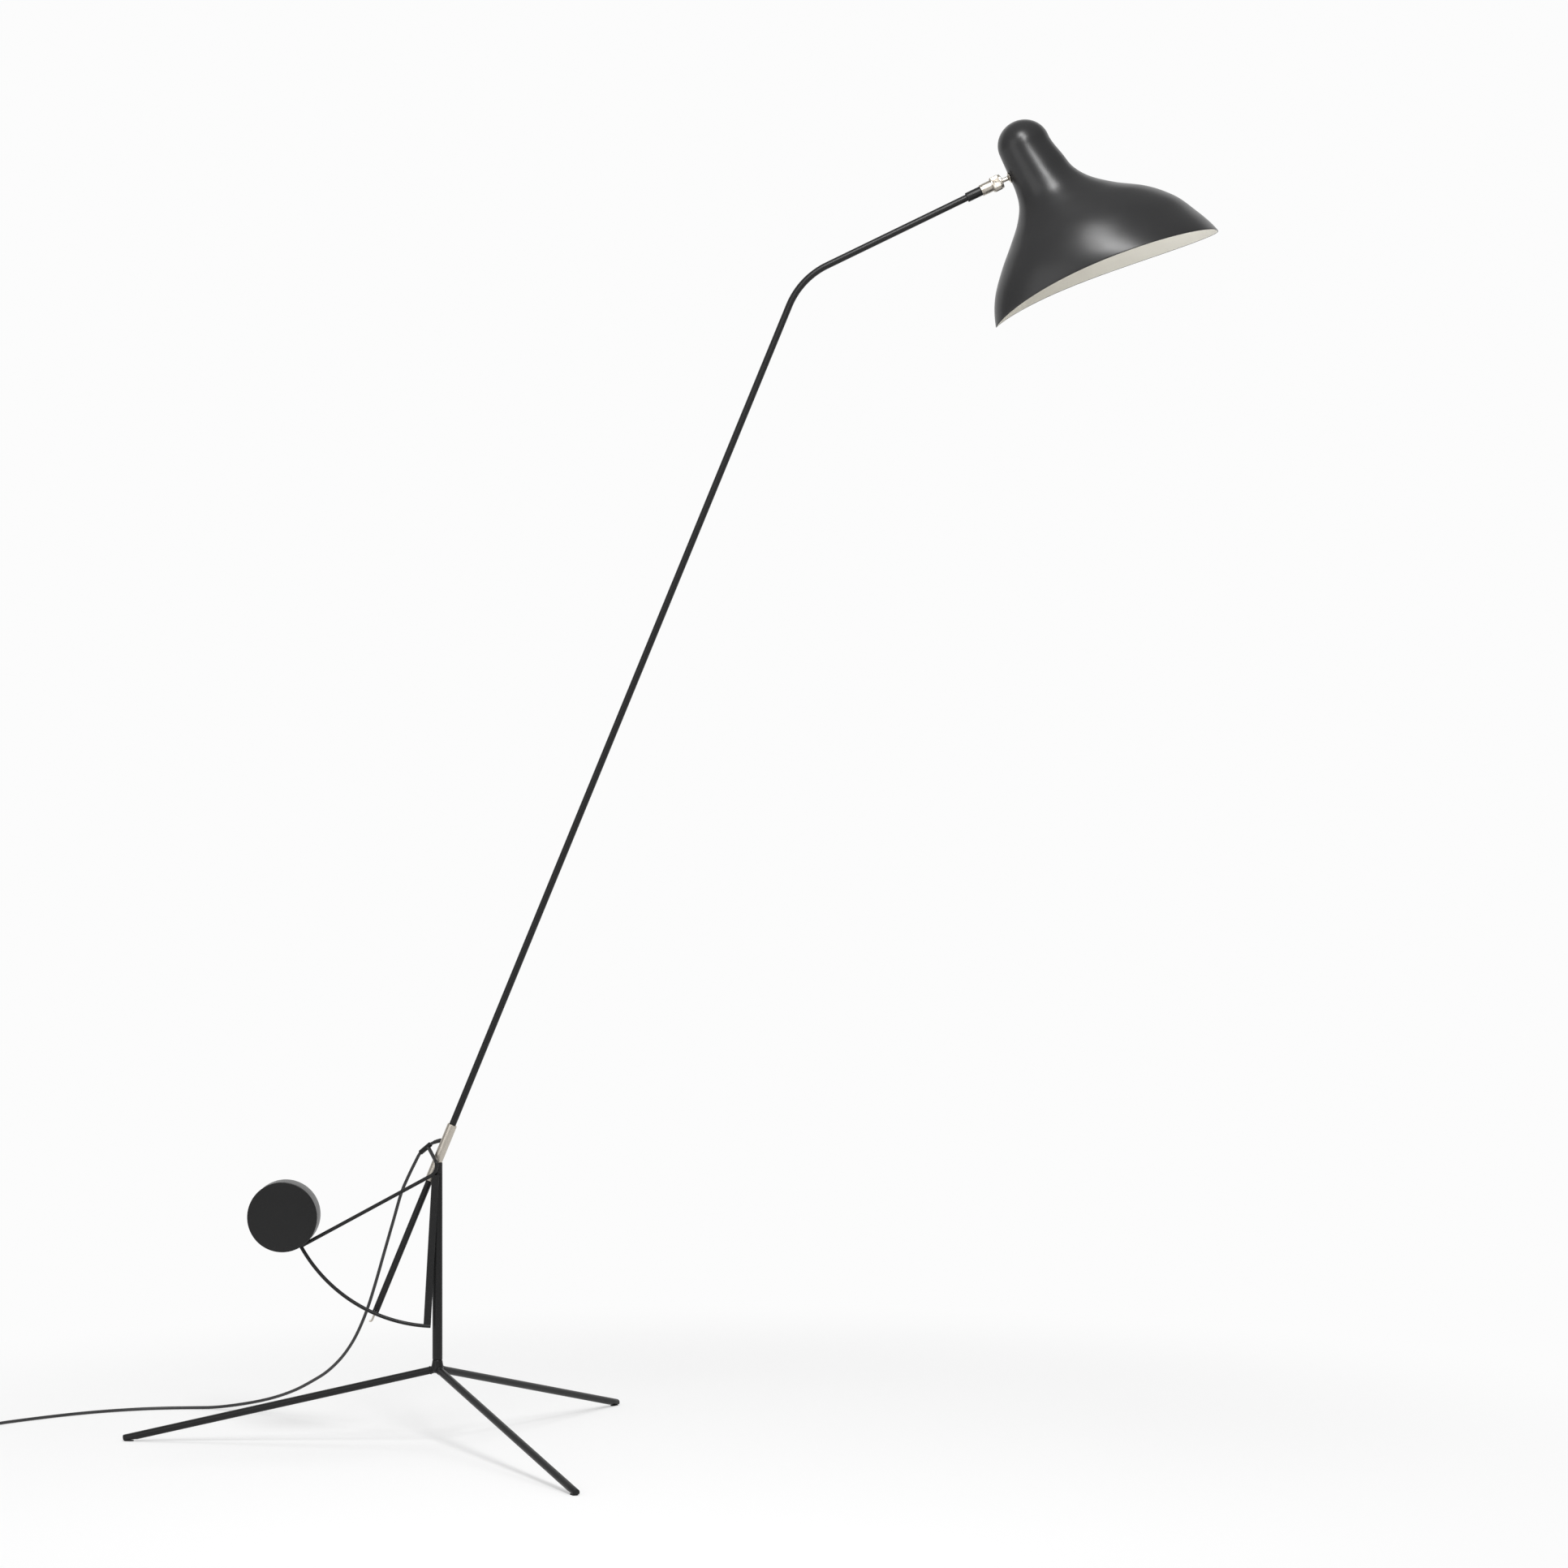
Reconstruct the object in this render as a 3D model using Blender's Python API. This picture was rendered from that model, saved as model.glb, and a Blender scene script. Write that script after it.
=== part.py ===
"""Adjustable arm floor lamp, built as its separate pieces.

A rod tripod carries a short post. A counterweighted frame tilts on a pin through the
head of the post. A bent arm turns in the frame's nickel sleeve, and a ball joint at
the arm's end carries a saddle-rimmed shade with its lampholder and bulb.

Metres, +Z up. The model is laid out round the post's axis and then moved so that the
bottom centre of the lamp, without its supply cord, is the origin. The arm leans
towards +X, and the frame of rods stands in front of the post, towards -Y.
"""

import math

import bmesh
import bpy
from mathutils import Matrix, Vector

MM = 0.001
GAP = 0.3 * MM              # between two pieces that touch, seat or are welded
RUNNING_GAP = 0.09 * MM     # radial play of a turning fit

# --- stand ---------------------------------------------------------------------
LEG_DIAMETER = 9.7 * MM
LEG_REACH = 416.0 * MM      # from the post's axis to a leg's tip
LEG_TIP_HEIGHT = 3.2 * MM   # of a leg's axis at its tip
LEG_ANGLES = {"leg_left": 173.7, "leg_rear": 58.4, "leg_front": -61.5}
HUB_HEIGHT = 100.9 * MM     # where the leg axes meet the post's axis
HUB_TOP = HUB_HEIGHT + 12.0 * MM
HUB_FLARE = 2.0 * MM        # how far the weld collar stands out from the post
PAD_THICKNESS = 1.2 * MM
PAD_LENGTH = 13.0 * MM
PAD_WIDTH = 7.6 * MM
POST_DIAMETER = 13.0 * MM
POST_WALL = 1.9 * MM
POST_TOP = 353.6 * MM
HEAD_TOP = 367.8 * MM       # top of the half-round tongue on the post
HEAD_LEFT_FACE = -2.3 * MM  # the tongue is cut away beyond this X
HEAD_REAR_FACE = 2.8 * MM   # and behind this Y
HEAD_SPIGOT = 26.0 * MM
HUB_SPIGOT = 20.0 * MM

# --- tilting frame ---------------------------------------------------------------
PIVOT_X = 1.5 * MM
PIVOT_Z = 360.9 * MM
PIVOT_PIN_RADIUS = 2.0 * MM
PIVOT_SHOULDER_RADIUS = 3.0 * MM
ROD_STANDOFF = 3.2 * MM     # from the front of the post to the plane of the rods
FRAME_Y = -POST_DIAMETER / 2 - ROD_STANDOFF
ROD_RADIUS = 2.4 * MM
ARC_RADIUS = 200.8 * MM
ARC_CENTRE = Vector((-1.5 * MM, 0.0, -3.2 * MM))   # from the pivot
ARC_START_ANGLE = 29.0      # below level, where the rod enters the weight
ARC_END_ANGLE = 87.7
SPOKE_ANGLE = 28.8
FIN_WIDTH = 9.3 * MM
FIN_THICKNESS = 3.0 * MM
FIN_FOOT = Vector((-14.0 * MM, 0.0, ARC_CENTRE.z - ARC_RADIUS + 1.4 * MM))  # on the arc
FIN_TOP = Vector((-3.1 * MM, 0.0, -8.5 * MM))
DISC_RADIUS = 45.1 * MM
DISC_THICKNESS = 42.0 * MM
DISC_EDGE = 1.2 * MM
ROD_INSERTION = 14.0 * MM
GRUB_RADIUS = 2.0 * MM
GRUB_LENGTH = 8.0 * MM
GUIDE_WALL = 0.95 * MM
STRUT_SEAT = 0.25           # how far down the guide the strut is welded

# --- arm ---------------------------------------------------------------------------
ARM_LEAN = math.radians(22.35)      # of the long tube, off vertical
ARM_OFFSET = 5.2 * MM               # from the pivot to the arm's axis
ARM_DIAMETER = 8.82 * MM
ARM_WALL = 1.0 * MM
ARM_FOOT = 0.5 * MM                 # stations along the arm, from beside the pivot
ARM_CORNER = 1244.3 * MM
ARM_BEND_RADIUS = 100.0 * MM
UPPER_ARM_RISE = math.radians(25.86)
UPPER_ARM_LENGTH = 284.4 * MM       # from the corner to the centre of the ball
SLEEVE_BOTTOM = -21.5 * MM
SLEEVE_TOP = 56.8 * MM
SLEEVE_DIAMETER = 12.5 * MM
SLEEVE_CLEARANCE = 0.4 * MM         # between the sleeve and the back of the post
ARM_Y = POST_DIAMETER / 2 + SLEEVE_DIAMETER / 2 + SLEEVE_CLEARANCE
OUTLET_STATION = 32.0 * MM
OUTLET_RADIUS = 2.7 * MM
WINDOW_HALF_HEIGHT = 5.0 * MM
RETAINER_STATION = 12.0 * MM
RETAINER_RADIUS = 1.5 * MM
GROOVE_DEPTH = 0.5 * MM
LOWER_TUBE_DIAMETER = ARM_DIAMETER - 0.22 * MM    # slips into the sleeve like the arm
LOWER_TUBE_WALL = 1.0 * MM
LOWER_TUBE_TOP = -2.0 * MM
LOWER_TUBE_OVERHANG = 3.8 * MM      # past the pin that ties it to the arc
LOWER_PIN_RADIUS = 1.8 * MM
TAIL_RADIUS = 1.3 * MM
TAIL_REACH_DOWN = 15.4 * MM         # past the same pin

# The lower tube is pinned where the arm's line crosses the arc.
ARM_HEADING = Vector((math.sin(ARM_LEAN), 0.0, math.cos(ARM_LEAN)))
ARM_FROM_ARC = Vector((-ARM_HEADING.z * ARM_OFFSET, 0.0, ARM_HEADING.x * ARM_OFFSET)) - ARC_CENTRE
ARM_PAST_ARC = ARM_FROM_ARC.dot(ARM_HEADING)
LOWER_PIN_STATION = -ARM_PAST_ARC - math.sqrt(ARM_PAST_ARC ** 2 + ARC_RADIUS ** 2
                                              - ARM_FROM_ARC.length_squared)
LOWER_TUBE_BOTTOM = LOWER_PIN_STATION - LOWER_TUBE_OVERHANG
TAIL_END = LOWER_PIN_STATION - TAIL_REACH_DOWN

GUIDE_TOP = Vector((-12.8 * MM, ARM_Y + 11.5 * MM, 28.1 * MM))      # from the pivot
GUIDE_BOTTOM = Vector((-26.3 * MM, ARM_Y + 21.0 * MM, 16.7 * MM))

# --- head joint, stations along the upper arm from the centre of the ball ------------
FERRULE_START = -44.4 * MM
FERRULE_END = -24.0 * MM
FERRULE_DIAMETER = 12.5 * MM
SOCKET_DIAMETER = 15.0 * MM
SOCKET_STEP = -8.7 * MM
SOCKET_NECK_RADIUS = 6.9 * MM
SOCKET_BORE_RADIUS = 6.3 * MM
SOCKET_MOUTH = 1.6 * MM
RING_DIAMETER = 20.0 * MM
RING_FRONT = 6.1 * MM
BALL_RADIUS = 6.0 * MM
STEM_RADIUS = 2.9 * MM
STEM_SHOULDER = 14.2 * MM
STUD_RADIUS = 2.2 * MM
STUD_END = 25.6 * MM
STUD_BORE = 1.6 * MM
WASHER_RADIUS = 7.3 * MM

# --- shade ---------------------------------------------------------------------------
SHADE_RISE = math.radians(23.3)     # of the stem and of every section of the shade
SHADE_WALL = 1.2 * MM
SHADE_NECK_SIDE = 17.0 * MM         # from the ball to the neck's outside
DOME_HEIGHT = 32.3 * MM
SADDLE_RISE = 17.0 * MM             # of the rim's sides over its two tips
SADDLE_SKEW = 0.35
MOUTH_SKEW = 0.22                   # the front of the mouth is the wider half
# depth down the shade, its left and right edge from the neck's side, half its depth in Y
SHADE_SECTIONS = (
    (-32.0, -0.4, 67.8, 31.0),
    (0.0, 0.0, 75.3, 33.0),
    (20.0, 0.0, 81.3, 35.5),
    (40.0, -3.8, 96.5, 41.0),
    (60.0, -15.2, 123.0, 51.0),
    (80.0, -32.4, 157.1, 63.0),
    (105.0, -55.5, 185.0, 77.0),
    (135.0, -78.5, 204.0, 89.0),
    (171.5, -93.1, 220.3, 99.0),
)
SHADE_AROUND = 32
SHADE_ROWS = 15

# --- lampholder and bulb, depths down the shade ----------------------------------------
HOLDER_AXIS = 37.0 * MM             # from the neck's side
HOLDER_RADIUS = 18.0 * MM
HOLDER_TOP = -46.0 * MM
HOLDER_BOTTOM = 9.0 * MM
BRACKET_THICKNESS = 1.5 * MM
BRACKET_WIDTH = 12.0 * MM
BRACKET_DROP = 12.0 * MM
BULB_RADIUS = 30.0 * MM
BULB_LENGTH = 84.0 * MM

# --- supply cord -------------------------------------------------------------------------
CORD_DIAMETER = 4.2 * MM
CORD_SPACING = 11.5 * MM
CORD_GAP = 0.4 * MM                 # where two stretches of cord meet on a bend
RELIEF_LENGTH = 13.5 * MM     # short, because the guide starts beyond it
LEAD_LENGTH = 88.0 * MM             # of the cord that moves with the tilting frame
COIL_CENTRE = Vector((-645.9 * MM, ARM_Y + 156.8 * MM, 0.0))
COIL_RADIUS = 23.0 * MM             # at the middle of the turns
COIL_WIDTH = 17.2 * MM
COIL_HEIGHT = 13.0 * MM
PLUG_LENGTH = 36.0 * MM
PLUG_WIDTH = 30.0 * MM
PLUG_HEIGHT = 13.6 * MM
PLUG_PIN_RADIUS = 2.0 * MM
PLUG_PIN_LENGTH = 19.0 * MM
PLUG_PIN_SPREAD = 18.6 * MM
TAIL_REACH = 28.0 * MM              # of the cord between the coil and the plug

# Millimetres from the post's axis, but Y from the arm's plane: out of the sleeve, through
# the guide, down behind the stand to the floor, and along it to the coil.
CORD_ROUTE = (
    (4.8, 4.6, 394.4), (3.1, 6.1, 394.4), (0.9, 7.3, 394.1), (-3, 8.6, 393),
    (-7.5, 9.7, 391.3), (-11.3, 11.5, 389), (-18, 16.2, 383.3), (-24.8, 21, 377.6),
    (-33, 30, 363.4), (-43.5, 40, 342.6), (-51.9, 48, 323.8), (-63.9, 61, 285.4),
    (-77.2, 75, 242.3), (-90.3, 88, 199.3), (-100.6, 98, 168.2), (-110.2, 107, 144.2),
    (-123, 121.2, 119), (-140.3, 141.3, 94.2), (-162.8, 166.9, 71.3), (-185.4, 190.9, 55.1),
    (-213.5, 218.9, 38.1), (-252.6, 254.3, 21.3), (-298.9, 286.2, 8.6), (-333, 298.8, 3.2),
    (-364.7, 300.4, 2.4), (-393.6, 297.6, 2.4), (-427.3, 290.2, 2.4), (-473.2, 271, 2.4),
    (-511.7, 246.9, 2.4), (-545.1, 219.5, 2.4), (-572.8, 193.4, 2.4), (-598.1, 167, 2.4),
    (-610.6, 149.2, 2.4), (-618.7, 137.7, 2.4),
)


# --- finishes --------------------------------------------------------------------------

def finish(name, colour, roughness, metallic=0.0, alpha=1.0):
    """A Principled material, made once for each name."""
    material = bpy.data.materials.get(name)
    if material is None:
        material = bpy.data.materials.new(name)
        material.use_nodes = True
        shader = material.node_tree.nodes["Principled BSDF"]
        shader.inputs["Base Color"].default_value = (*colour, 1.0)
        shader.inputs["Roughness"].default_value = roughness
        shader.inputs["Metallic"].default_value = metallic
        shader.inputs["Alpha"].default_value = alpha
        material.diffuse_color = (*colour, alpha)
    return material


def black_paint():
    return finish("black_paint", (0.021, 0.021, 0.021), 0.42)


def shade_paint():
    return finish("shade_paint", (0.040, 0.040, 0.041), 0.36)


def satin_nickel():
    return finish("satin_nickel", (0.62, 0.56, 0.49), 0.28, 1.0)


def black_rubber():
    return finish("black_rubber", (0.018, 0.018, 0.018), 0.75)


def white_nylon():
    return finish("white_nylon", (0.72, 0.70, 0.66), 0.55)


def porcelain():
    return finish("porcelain", (0.80, 0.79, 0.75), 0.30)


def opal_glass():
    return finish("opal_glass", (0.92, 0.91, 0.87), 0.25)


def cord_sheath():
    return finish("cord_sheath", (0.020, 0.020, 0.020), 0.55)


# --- modelling tools -------------------------------------------------------------------

def empty(name, parent, location=(0.0, 0.0, 0.0), turn_about_y=0.0):
    """An empty on an axis, which the pieces there are parented to."""
    holder = bpy.data.objects.new(name, None)
    bpy.context.scene.collection.objects.link(holder)
    holder.parent = parent
    holder.location = location
    holder.rotation_euler = (0.0, turn_about_y, 0.0)
    return holder


def place(name, data, parent, material, location=(0.0, 0.0, 0.0), rotation=(0.0, 0.0, 0.0)):
    """Link a mesh or a curve into the scene as one named piece."""
    piece = bpy.data.objects.new(name, data)
    bpy.context.scene.collection.objects.link(piece)
    piece.parent = parent
    piece.location = location
    piece.rotation_euler = rotation
    if material is not None:
        data.materials.append(material)
    return piece


def mesh_from(name, bm, smooth_angle=30.0):
    """Close a bmesh into a mesh with outward faces, smooth where it is round."""
    bmesh.ops.remove_doubles(bm, verts=bm.verts, dist=1e-7)
    bmesh.ops.recalc_face_normals(bm, faces=bm.faces)
    mesh = bpy.data.meshes.new(name)
    bm.to_mesh(mesh)
    bm.free()
    mesh.shade_smooth()
    mesh.set_sharp_from_angle(angle=math.radians(smooth_angle))
    return mesh


def turned_mesh(name, profile, steps=32):
    """Spin a closed outline of (radius, height) points about the local Z axis."""
    bm = bmesh.new()
    verts = [bm.verts.new((radius, 0.0, height)) for radius, height in profile]
    edges = []
    for first, second in zip(verts, verts[1:] + verts[:1]):
        on_axis = first.co.x < 1e-9 and second.co.x < 1e-9
        if not on_axis:
            edges.append(bm.edges.new((first, second)))
    bmesh.ops.spin(bm, geom=verts + edges, cent=(0, 0, 0), axis=(0, 0, 1),
                   angle=math.tau, steps=steps, use_merge=True)
    return mesh_from(name, bm)


def cylinder_mesh(name, radius, bottom, top, steps=24, edge=0.0):
    """A turned cylinder, with a small bevel at both ends when edge is given."""
    profile = [(0.0, bottom), (radius - edge, bottom)]
    if edge:
        profile += [(radius, bottom + edge), (radius, top - edge)]
    else:
        profile += [(radius, bottom)]
    profile += [(radius - edge, top), (0.0, top)]
    return turned_mesh(name, dedupe(profile), steps)


def ring_mesh(name, outer, inner, bottom, top, steps=24):
    """A turned tube with square ends."""
    return turned_mesh(name, [(inner, bottom), (outer, bottom), (outer, top), (inner, top)], steps)


def dedupe(profile):
    """Drop a point that repeats the one before it."""
    kept = [profile[0]]
    for point in profile[1:]:
        if (point[0] - kept[-1][0]) ** 2 + (point[1] - kept[-1][1]) ** 2 > 1e-14:
            kept.append(point)
    return kept


def arc_points(centre, radius, start, end, count):
    """Points (x, z) on a circle, angles in radians from +x towards +z."""
    step = (end - start) / (count - 1)
    return [(centre[0] + radius * math.cos(start + i * step),
             centre[1] + radius * math.sin(start + i * step)) for i in range(count)]


def rings_along(bm, path, radii, sides):
    """Circles of vertices square to a path, kept from twisting."""
    tangents = []
    for i in range(len(path)):
        before = path[max(i - 1, 0)]
        after = path[min(i + 1, len(path) - 1)]
        tangents.append((after - before).normalized())
    side = tangents[0].orthogonal().normalized()
    loops = []
    for point, tangent, radius in zip(path, tangents, radii):
        side = (side - tangent * side.dot(tangent)).normalized()
        up = tangent.cross(side)
        loop = []
        for k in range(sides):
            angle = math.tau * k / sides
            loop.append(bm.verts.new(point + radius * (math.cos(angle) * side
                                                       + math.sin(angle) * up)))
        loops.append(loop)
    return loops


def skin(bm, first, second):
    """Quads between two loops of equal length."""
    count = len(first)
    for k in range(count):
        bm.faces.new((first[k], first[(k + 1) % count], second[(k + 1) % count], second[k]))


def rod_mesh(name, path, radii, sides=12, bore=0.0):
    """A round bar, or a tube when bore is given, along a path of vectors."""
    if not isinstance(radii, (list, tuple)):
        radii = [radii] * len(path)
    bm = bmesh.new()
    outer = rings_along(bm, path, radii, sides)
    for first, second in zip(outer, outer[1:]):
        skin(bm, first, second)
    if bore:
        inner = rings_along(bm, path, [bore] * len(path), sides)
        for first, second in zip(inner, inner[1:]):
            skin(bm, first, second)
        skin(bm, outer[0], inner[0])
        skin(bm, outer[-1], inner[-1])
    else:
        bm.faces.new(outer[0])
        bm.faces.new(outer[-1])
    return mesh_from(name, bm)


def box_mesh(name, low, high, bevel=0.0):
    """A box between two corners, with its edges bevelled when asked."""
    low = Vector(low)
    high = Vector(high)
    bm = bmesh.new()
    bmesh.ops.create_cube(bm, size=1.0)
    bmesh.ops.scale(bm, vec=high - low, verts=bm.verts)
    bmesh.ops.translate(bm, vec=(low + high) / 2, verts=bm.verts)
    if bevel:
        bmesh.ops.bevel(bm, geom=bm.edges, offset=bevel, segments=1, affect="EDGES")
    return mesh_from(name, bm)


def cutter(mesh, parent, location=(0.0, 0.0, 0.0), rotation=(0.0, 0.0, 0.0)):
    """An object that only cuts another, and is never part of the lamp."""
    tool = place("cut_" + mesh.name, mesh, parent, None, location, rotation)
    tool.hide_render = True
    tool.display_type = "WIRE"
    return tool


def cut(piece, tool, operation="DIFFERENCE"):
    """A Boolean modifier with the exact solver."""
    modifier = piece.modifiers.new("cut", "BOOLEAN")
    modifier.operation = operation
    modifier.solver = "EXACT"
    modifier.object = tool


def bezier(p0, p1, p2, p3, count):
    """Points on a cubic Bezier curve, both ends included."""
    points = []
    for i in range(count):
        t = i / (count - 1)
        r = 1.0 - t
        points.append(p0 * r ** 3 + p1 * 3 * t * r * r + p2 * 3 * t * t * r + p3 * t ** 3)
    return points


def smooth_curve(route, steps=12):
    """A dense centripetal Catmull-Rom curve through every point of a route."""
    points = [route[0] * 2 - route[1]] + list(route) + [route[-1] * 2 - route[-2]]
    dense = []
    for p0, p1, p2, p3 in zip(points, points[1:], points[2:], points[3:]):
        t0 = 0.0
        t1 = t0 + math.sqrt((p1 - p0).length)
        t2 = t1 + math.sqrt((p2 - p1).length)
        t3 = t2 + math.sqrt((p3 - p2).length)
        for k in range(steps):
            t = t1 + (t2 - t1) * k / steps
            a1 = p0 * ((t1 - t) / (t1 - t0)) + p1 * ((t - t0) / (t1 - t0))
            a2 = p1 * ((t2 - t) / (t2 - t1)) + p2 * ((t - t1) / (t2 - t1))
            a3 = p2 * ((t3 - t) / (t3 - t2)) + p3 * ((t - t2) / (t3 - t2))
            b1 = a1 * ((t2 - t) / (t2 - t0)) + a2 * ((t - t0) / (t2 - t0))
            b2 = a2 * ((t3 - t) / (t3 - t1)) + a3 * ((t - t1) / (t3 - t1))
            dense.append(b1 * ((t2 - t) / (t2 - t1)) + b2 * ((t - t1) / (t2 - t1)))
    return dense + [points[-2]]


def stretch_of(dense, start, end, spacing):
    """Evenly spaced points of a dense curve, between two distances along it."""
    lengths = [0.0]
    for first, second in zip(dense, dense[1:]):
        lengths.append(lengths[-1] + (second - first).length)
    end = min(end, lengths[-1])
    count = max(2, round((end - start) / spacing) + 1)
    points = []
    index = 0
    for k in range(count):
        wanted = start + (end - start) * k / (count - 1)
        while index < len(lengths) - 2 and lengths[index + 1] < wanted:
            index += 1
        share = (wanted - lengths[index]) / (lengths[index + 1] - lengths[index])
        points.append(dense[index].lerp(dense[index + 1], min(share, 1.0)))
    return points


def cord_curve(name, points, radius, resolution):
    """A round tube along points, as a capped poly curve with 4 + 2 * resolution sides."""
    data = bpy.data.curves.new(name, "CURVE")
    data.dimensions = "3D"
    data.bevel_depth = radius
    data.bevel_resolution = resolution
    data.use_fill_caps = True
    spline = data.splines.new("POLY")
    spline.points.add(len(points) - 1)
    for slot, point in zip(spline.points, points):
        slot.co = (*point, 1.0)
    return data


# --- stand -----------------------------------------------------------------------------

POST_RADIUS = POST_DIAMETER / 2
POST_BORE = POST_RADIUS - POST_WALL
LEG_RADIUS = LEG_DIAMETER / 2


def hub_profile(clearance=0.0):
    """The weld collar under the post: (radius, height) up its outside."""
    flare = POST_RADIUS + HUB_FLARE + clearance
    bottom = HUB_HEIGHT - 5.5 * MM - clearance
    return [(0.0, bottom), (POST_RADIUS - 1.5 * MM + clearance, bottom),
            (flare - 0.6 * MM, bottom + 2.2 * MM), (flare, HUB_HEIGHT + 0.5 * MM),
            (flare - 0.9 * MM, HUB_HEIGHT + 4.0 * MM), (flare - 1.6 * MM, HUB_HEIGHT + 7.5 * MM),
            (POST_RADIUS + clearance, HUB_TOP)]


def make_hub(lamp):
    spigot_radius = POST_BORE - GAP
    profile = hub_profile() + [(spigot_radius, HUB_TOP), (spigot_radius, HUB_TOP + HUB_SPIGOT),
                               (0.0, HUB_TOP + HUB_SPIGOT)]
    place("hub", turned_mesh("hub", profile, 24), lamp, black_paint())


def leg_direction(angle):
    return Vector((math.cos(angle), math.sin(angle), 0.0))


def make_leg(lamp, name, angle):
    """A round bar from the hub to the floor, its sole cut level."""
    outward = leg_direction(angle)
    tip = outward * LEG_REACH + Vector((0.0, 0.0, LEG_TIP_HEIGHT))
    top = Vector((0.0, 0.0, HUB_HEIGHT))
    along = (tip - top).normalized()
    round_off = 0.8 * MM
    path = [top, top + along * 20 * MM, top + along * 30 * MM,
            tip - along * round_off, tip]
    radii = [LEG_RADIUS] * 4 + [LEG_RADIUS - round_off]
    leg = place(name, rod_mesh(name, path, radii, sides=16), lamp, black_paint())
    hub_shape = hub_profile(GAP) + [(0.0, HUB_TOP)]
    cut(leg, cutter(turned_mesh(name + "_cope", hub_shape, 24), lamp))
    cut(leg, cutter(wedge_between_legs(name, angle), lamp))
    floor = box_mesh(name + "_sole", (-0.6, -0.6, -0.1), (0.6, 0.6, PAD_THICKNESS + GAP))
    cut(leg, cutter(floor, lamp))


def wedge_between_legs(name, angle):
    """What must be cut off a leg so that it stays in its own third round the hub."""
    size = 60 * MM
    third = math.tau / 6
    bm = bmesh.new()
    rim = []
    for turn in (third, math.pi, -third):
        corner = leg_direction(angle + turn) * size
        rim.append((corner.x, corner.y))
    inset = leg_direction(angle) * GAP
    outline = [(inset.x, inset.y)] + rim
    low = [bm.verts.new((x, y, HUB_HEIGHT - 40 * MM)) for x, y in outline]
    high = [bm.verts.new((x, y, HUB_HEIGHT + 40 * MM)) for x, y in outline]
    bm.faces.new(low)
    bm.faces.new(high)
    skin(bm, low, high)
    return mesh_from(name + "_wedge", bm)


def make_foot_pad(lamp, name, angle):
    """A thin rubber pad under a leg's level sole."""
    slope = math.atan2(HUB_HEIGHT - LEG_TIP_HEIGHT, LEG_REACH)
    sole_length = (LEG_RADIUS / math.cos(slope) - LEG_TIP_HEIGHT + PAD_THICKNESS + GAP)
    sole_length /= math.tan(slope)
    middle = LEG_REACH - sole_length / 2
    bm = bmesh.new()
    half_run = PAD_LENGTH / 2 - PAD_WIDTH / 2
    outline = []
    for side in (1, -1):
        for k in range(7):
            turn = math.radians(-90 + 30 * k) + (0 if side > 0 else math.pi)
            outline.append((side * half_run + PAD_WIDTH / 2 * math.cos(turn),
                            PAD_WIDTH / 2 * math.sin(turn)))
    low = [bm.verts.new((x, y, 0.0)) for x, y in outline]
    high = [bm.verts.new((x, y, PAD_THICKNESS)) for x, y in outline]
    bm.faces.new(low)
    bm.faces.new(high)
    skin(bm, low, high)
    place(name, mesh_from(name, bm), lamp, black_rubber(),
          leg_direction(angle) * middle, (0.0, 0.0, angle))


def make_post(lamp):
    post = ring_mesh("post", POST_RADIUS, POST_BORE, HUB_TOP + GAP, POST_TOP, 32)
    place("post", post, lamp, black_paint())
    make_pivot_head(lamp)


def make_pivot_head(lamp):
    """The plug in the post's top, with the half-round tongue that holds the pivot pin."""
    seat = POST_TOP + GAP
    spigot = POST_BORE - GAP
    profile = [(0.0, seat - HEAD_SPIGOT), (spigot, seat - HEAD_SPIGOT), (spigot, seat),
               (POST_RADIUS, seat), (POST_RADIUS, HEAD_TOP - 0.4 * MM),
               (POST_RADIUS - 0.4 * MM, HEAD_TOP), (0.0, HEAD_TOP)]
    head = place("pivot_head", turned_mesh("pivot_head", profile), lamp, black_paint())
    shelf = seat + 1.2 * MM
    reach = POST_DIAMETER
    left = box_mesh("head_left", (-reach, -reach, shelf), (HEAD_LEFT_FACE, reach, HEAD_TOP + reach))
    rear = box_mesh("head_rear", (-reach, HEAD_REAR_FACE, shelf), (reach, reach, HEAD_TOP + reach))
    cut(head, cutter(left, lamp))
    cut(head, cutter(rear, lamp))
    bore = cylinder_mesh("head_bore", PIVOT_PIN_RADIUS + RUNNING_GAP, -reach, reach)
    cut(head, cutter(bore, lamp, (PIVOT_X, 0.0, PIVOT_Z), (math.pi / 2, 0.0, 0.0)))


# --- tilting frame -----------------------------------------------------------------------

def in_frame(x, z, y=FRAME_Y):
    """A point in the plane of the rods, from the pivot."""
    return Vector((x, y, z))


def arc_point(angle):
    """A point on the arc rod's axis, angle in degrees below level."""
    turn = math.radians(angle)
    return in_frame(ARC_CENTRE.x - ARC_RADIUS * math.cos(turn),
                    ARC_CENTRE.z - ARC_RADIUS * math.sin(turn))


def disc_direction():
    """From the arc's upper end towards the middle of the counterweight."""
    turn = math.radians(ARC_START_ANGLE)
    return Vector((-math.sin(turn), 0.0, math.cos(turn)))


def arc_path(start, end, count):
    return [arc_point(start + (end - start) * k / (count - 1)) for k in range(count)]


def make_arc_rod(tilt):
    path = arc_path(ARC_START_ANGLE, ARC_END_ANGLE, 19)
    inside = arc_point(ARC_START_ANGLE) + disc_direction() * ROD_INSERTION
    mesh = rod_mesh("arc_rod", [inside] + path, ROD_RADIUS, sides=12)
    place("arc_rod", mesh, tilt, black_paint())


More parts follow.
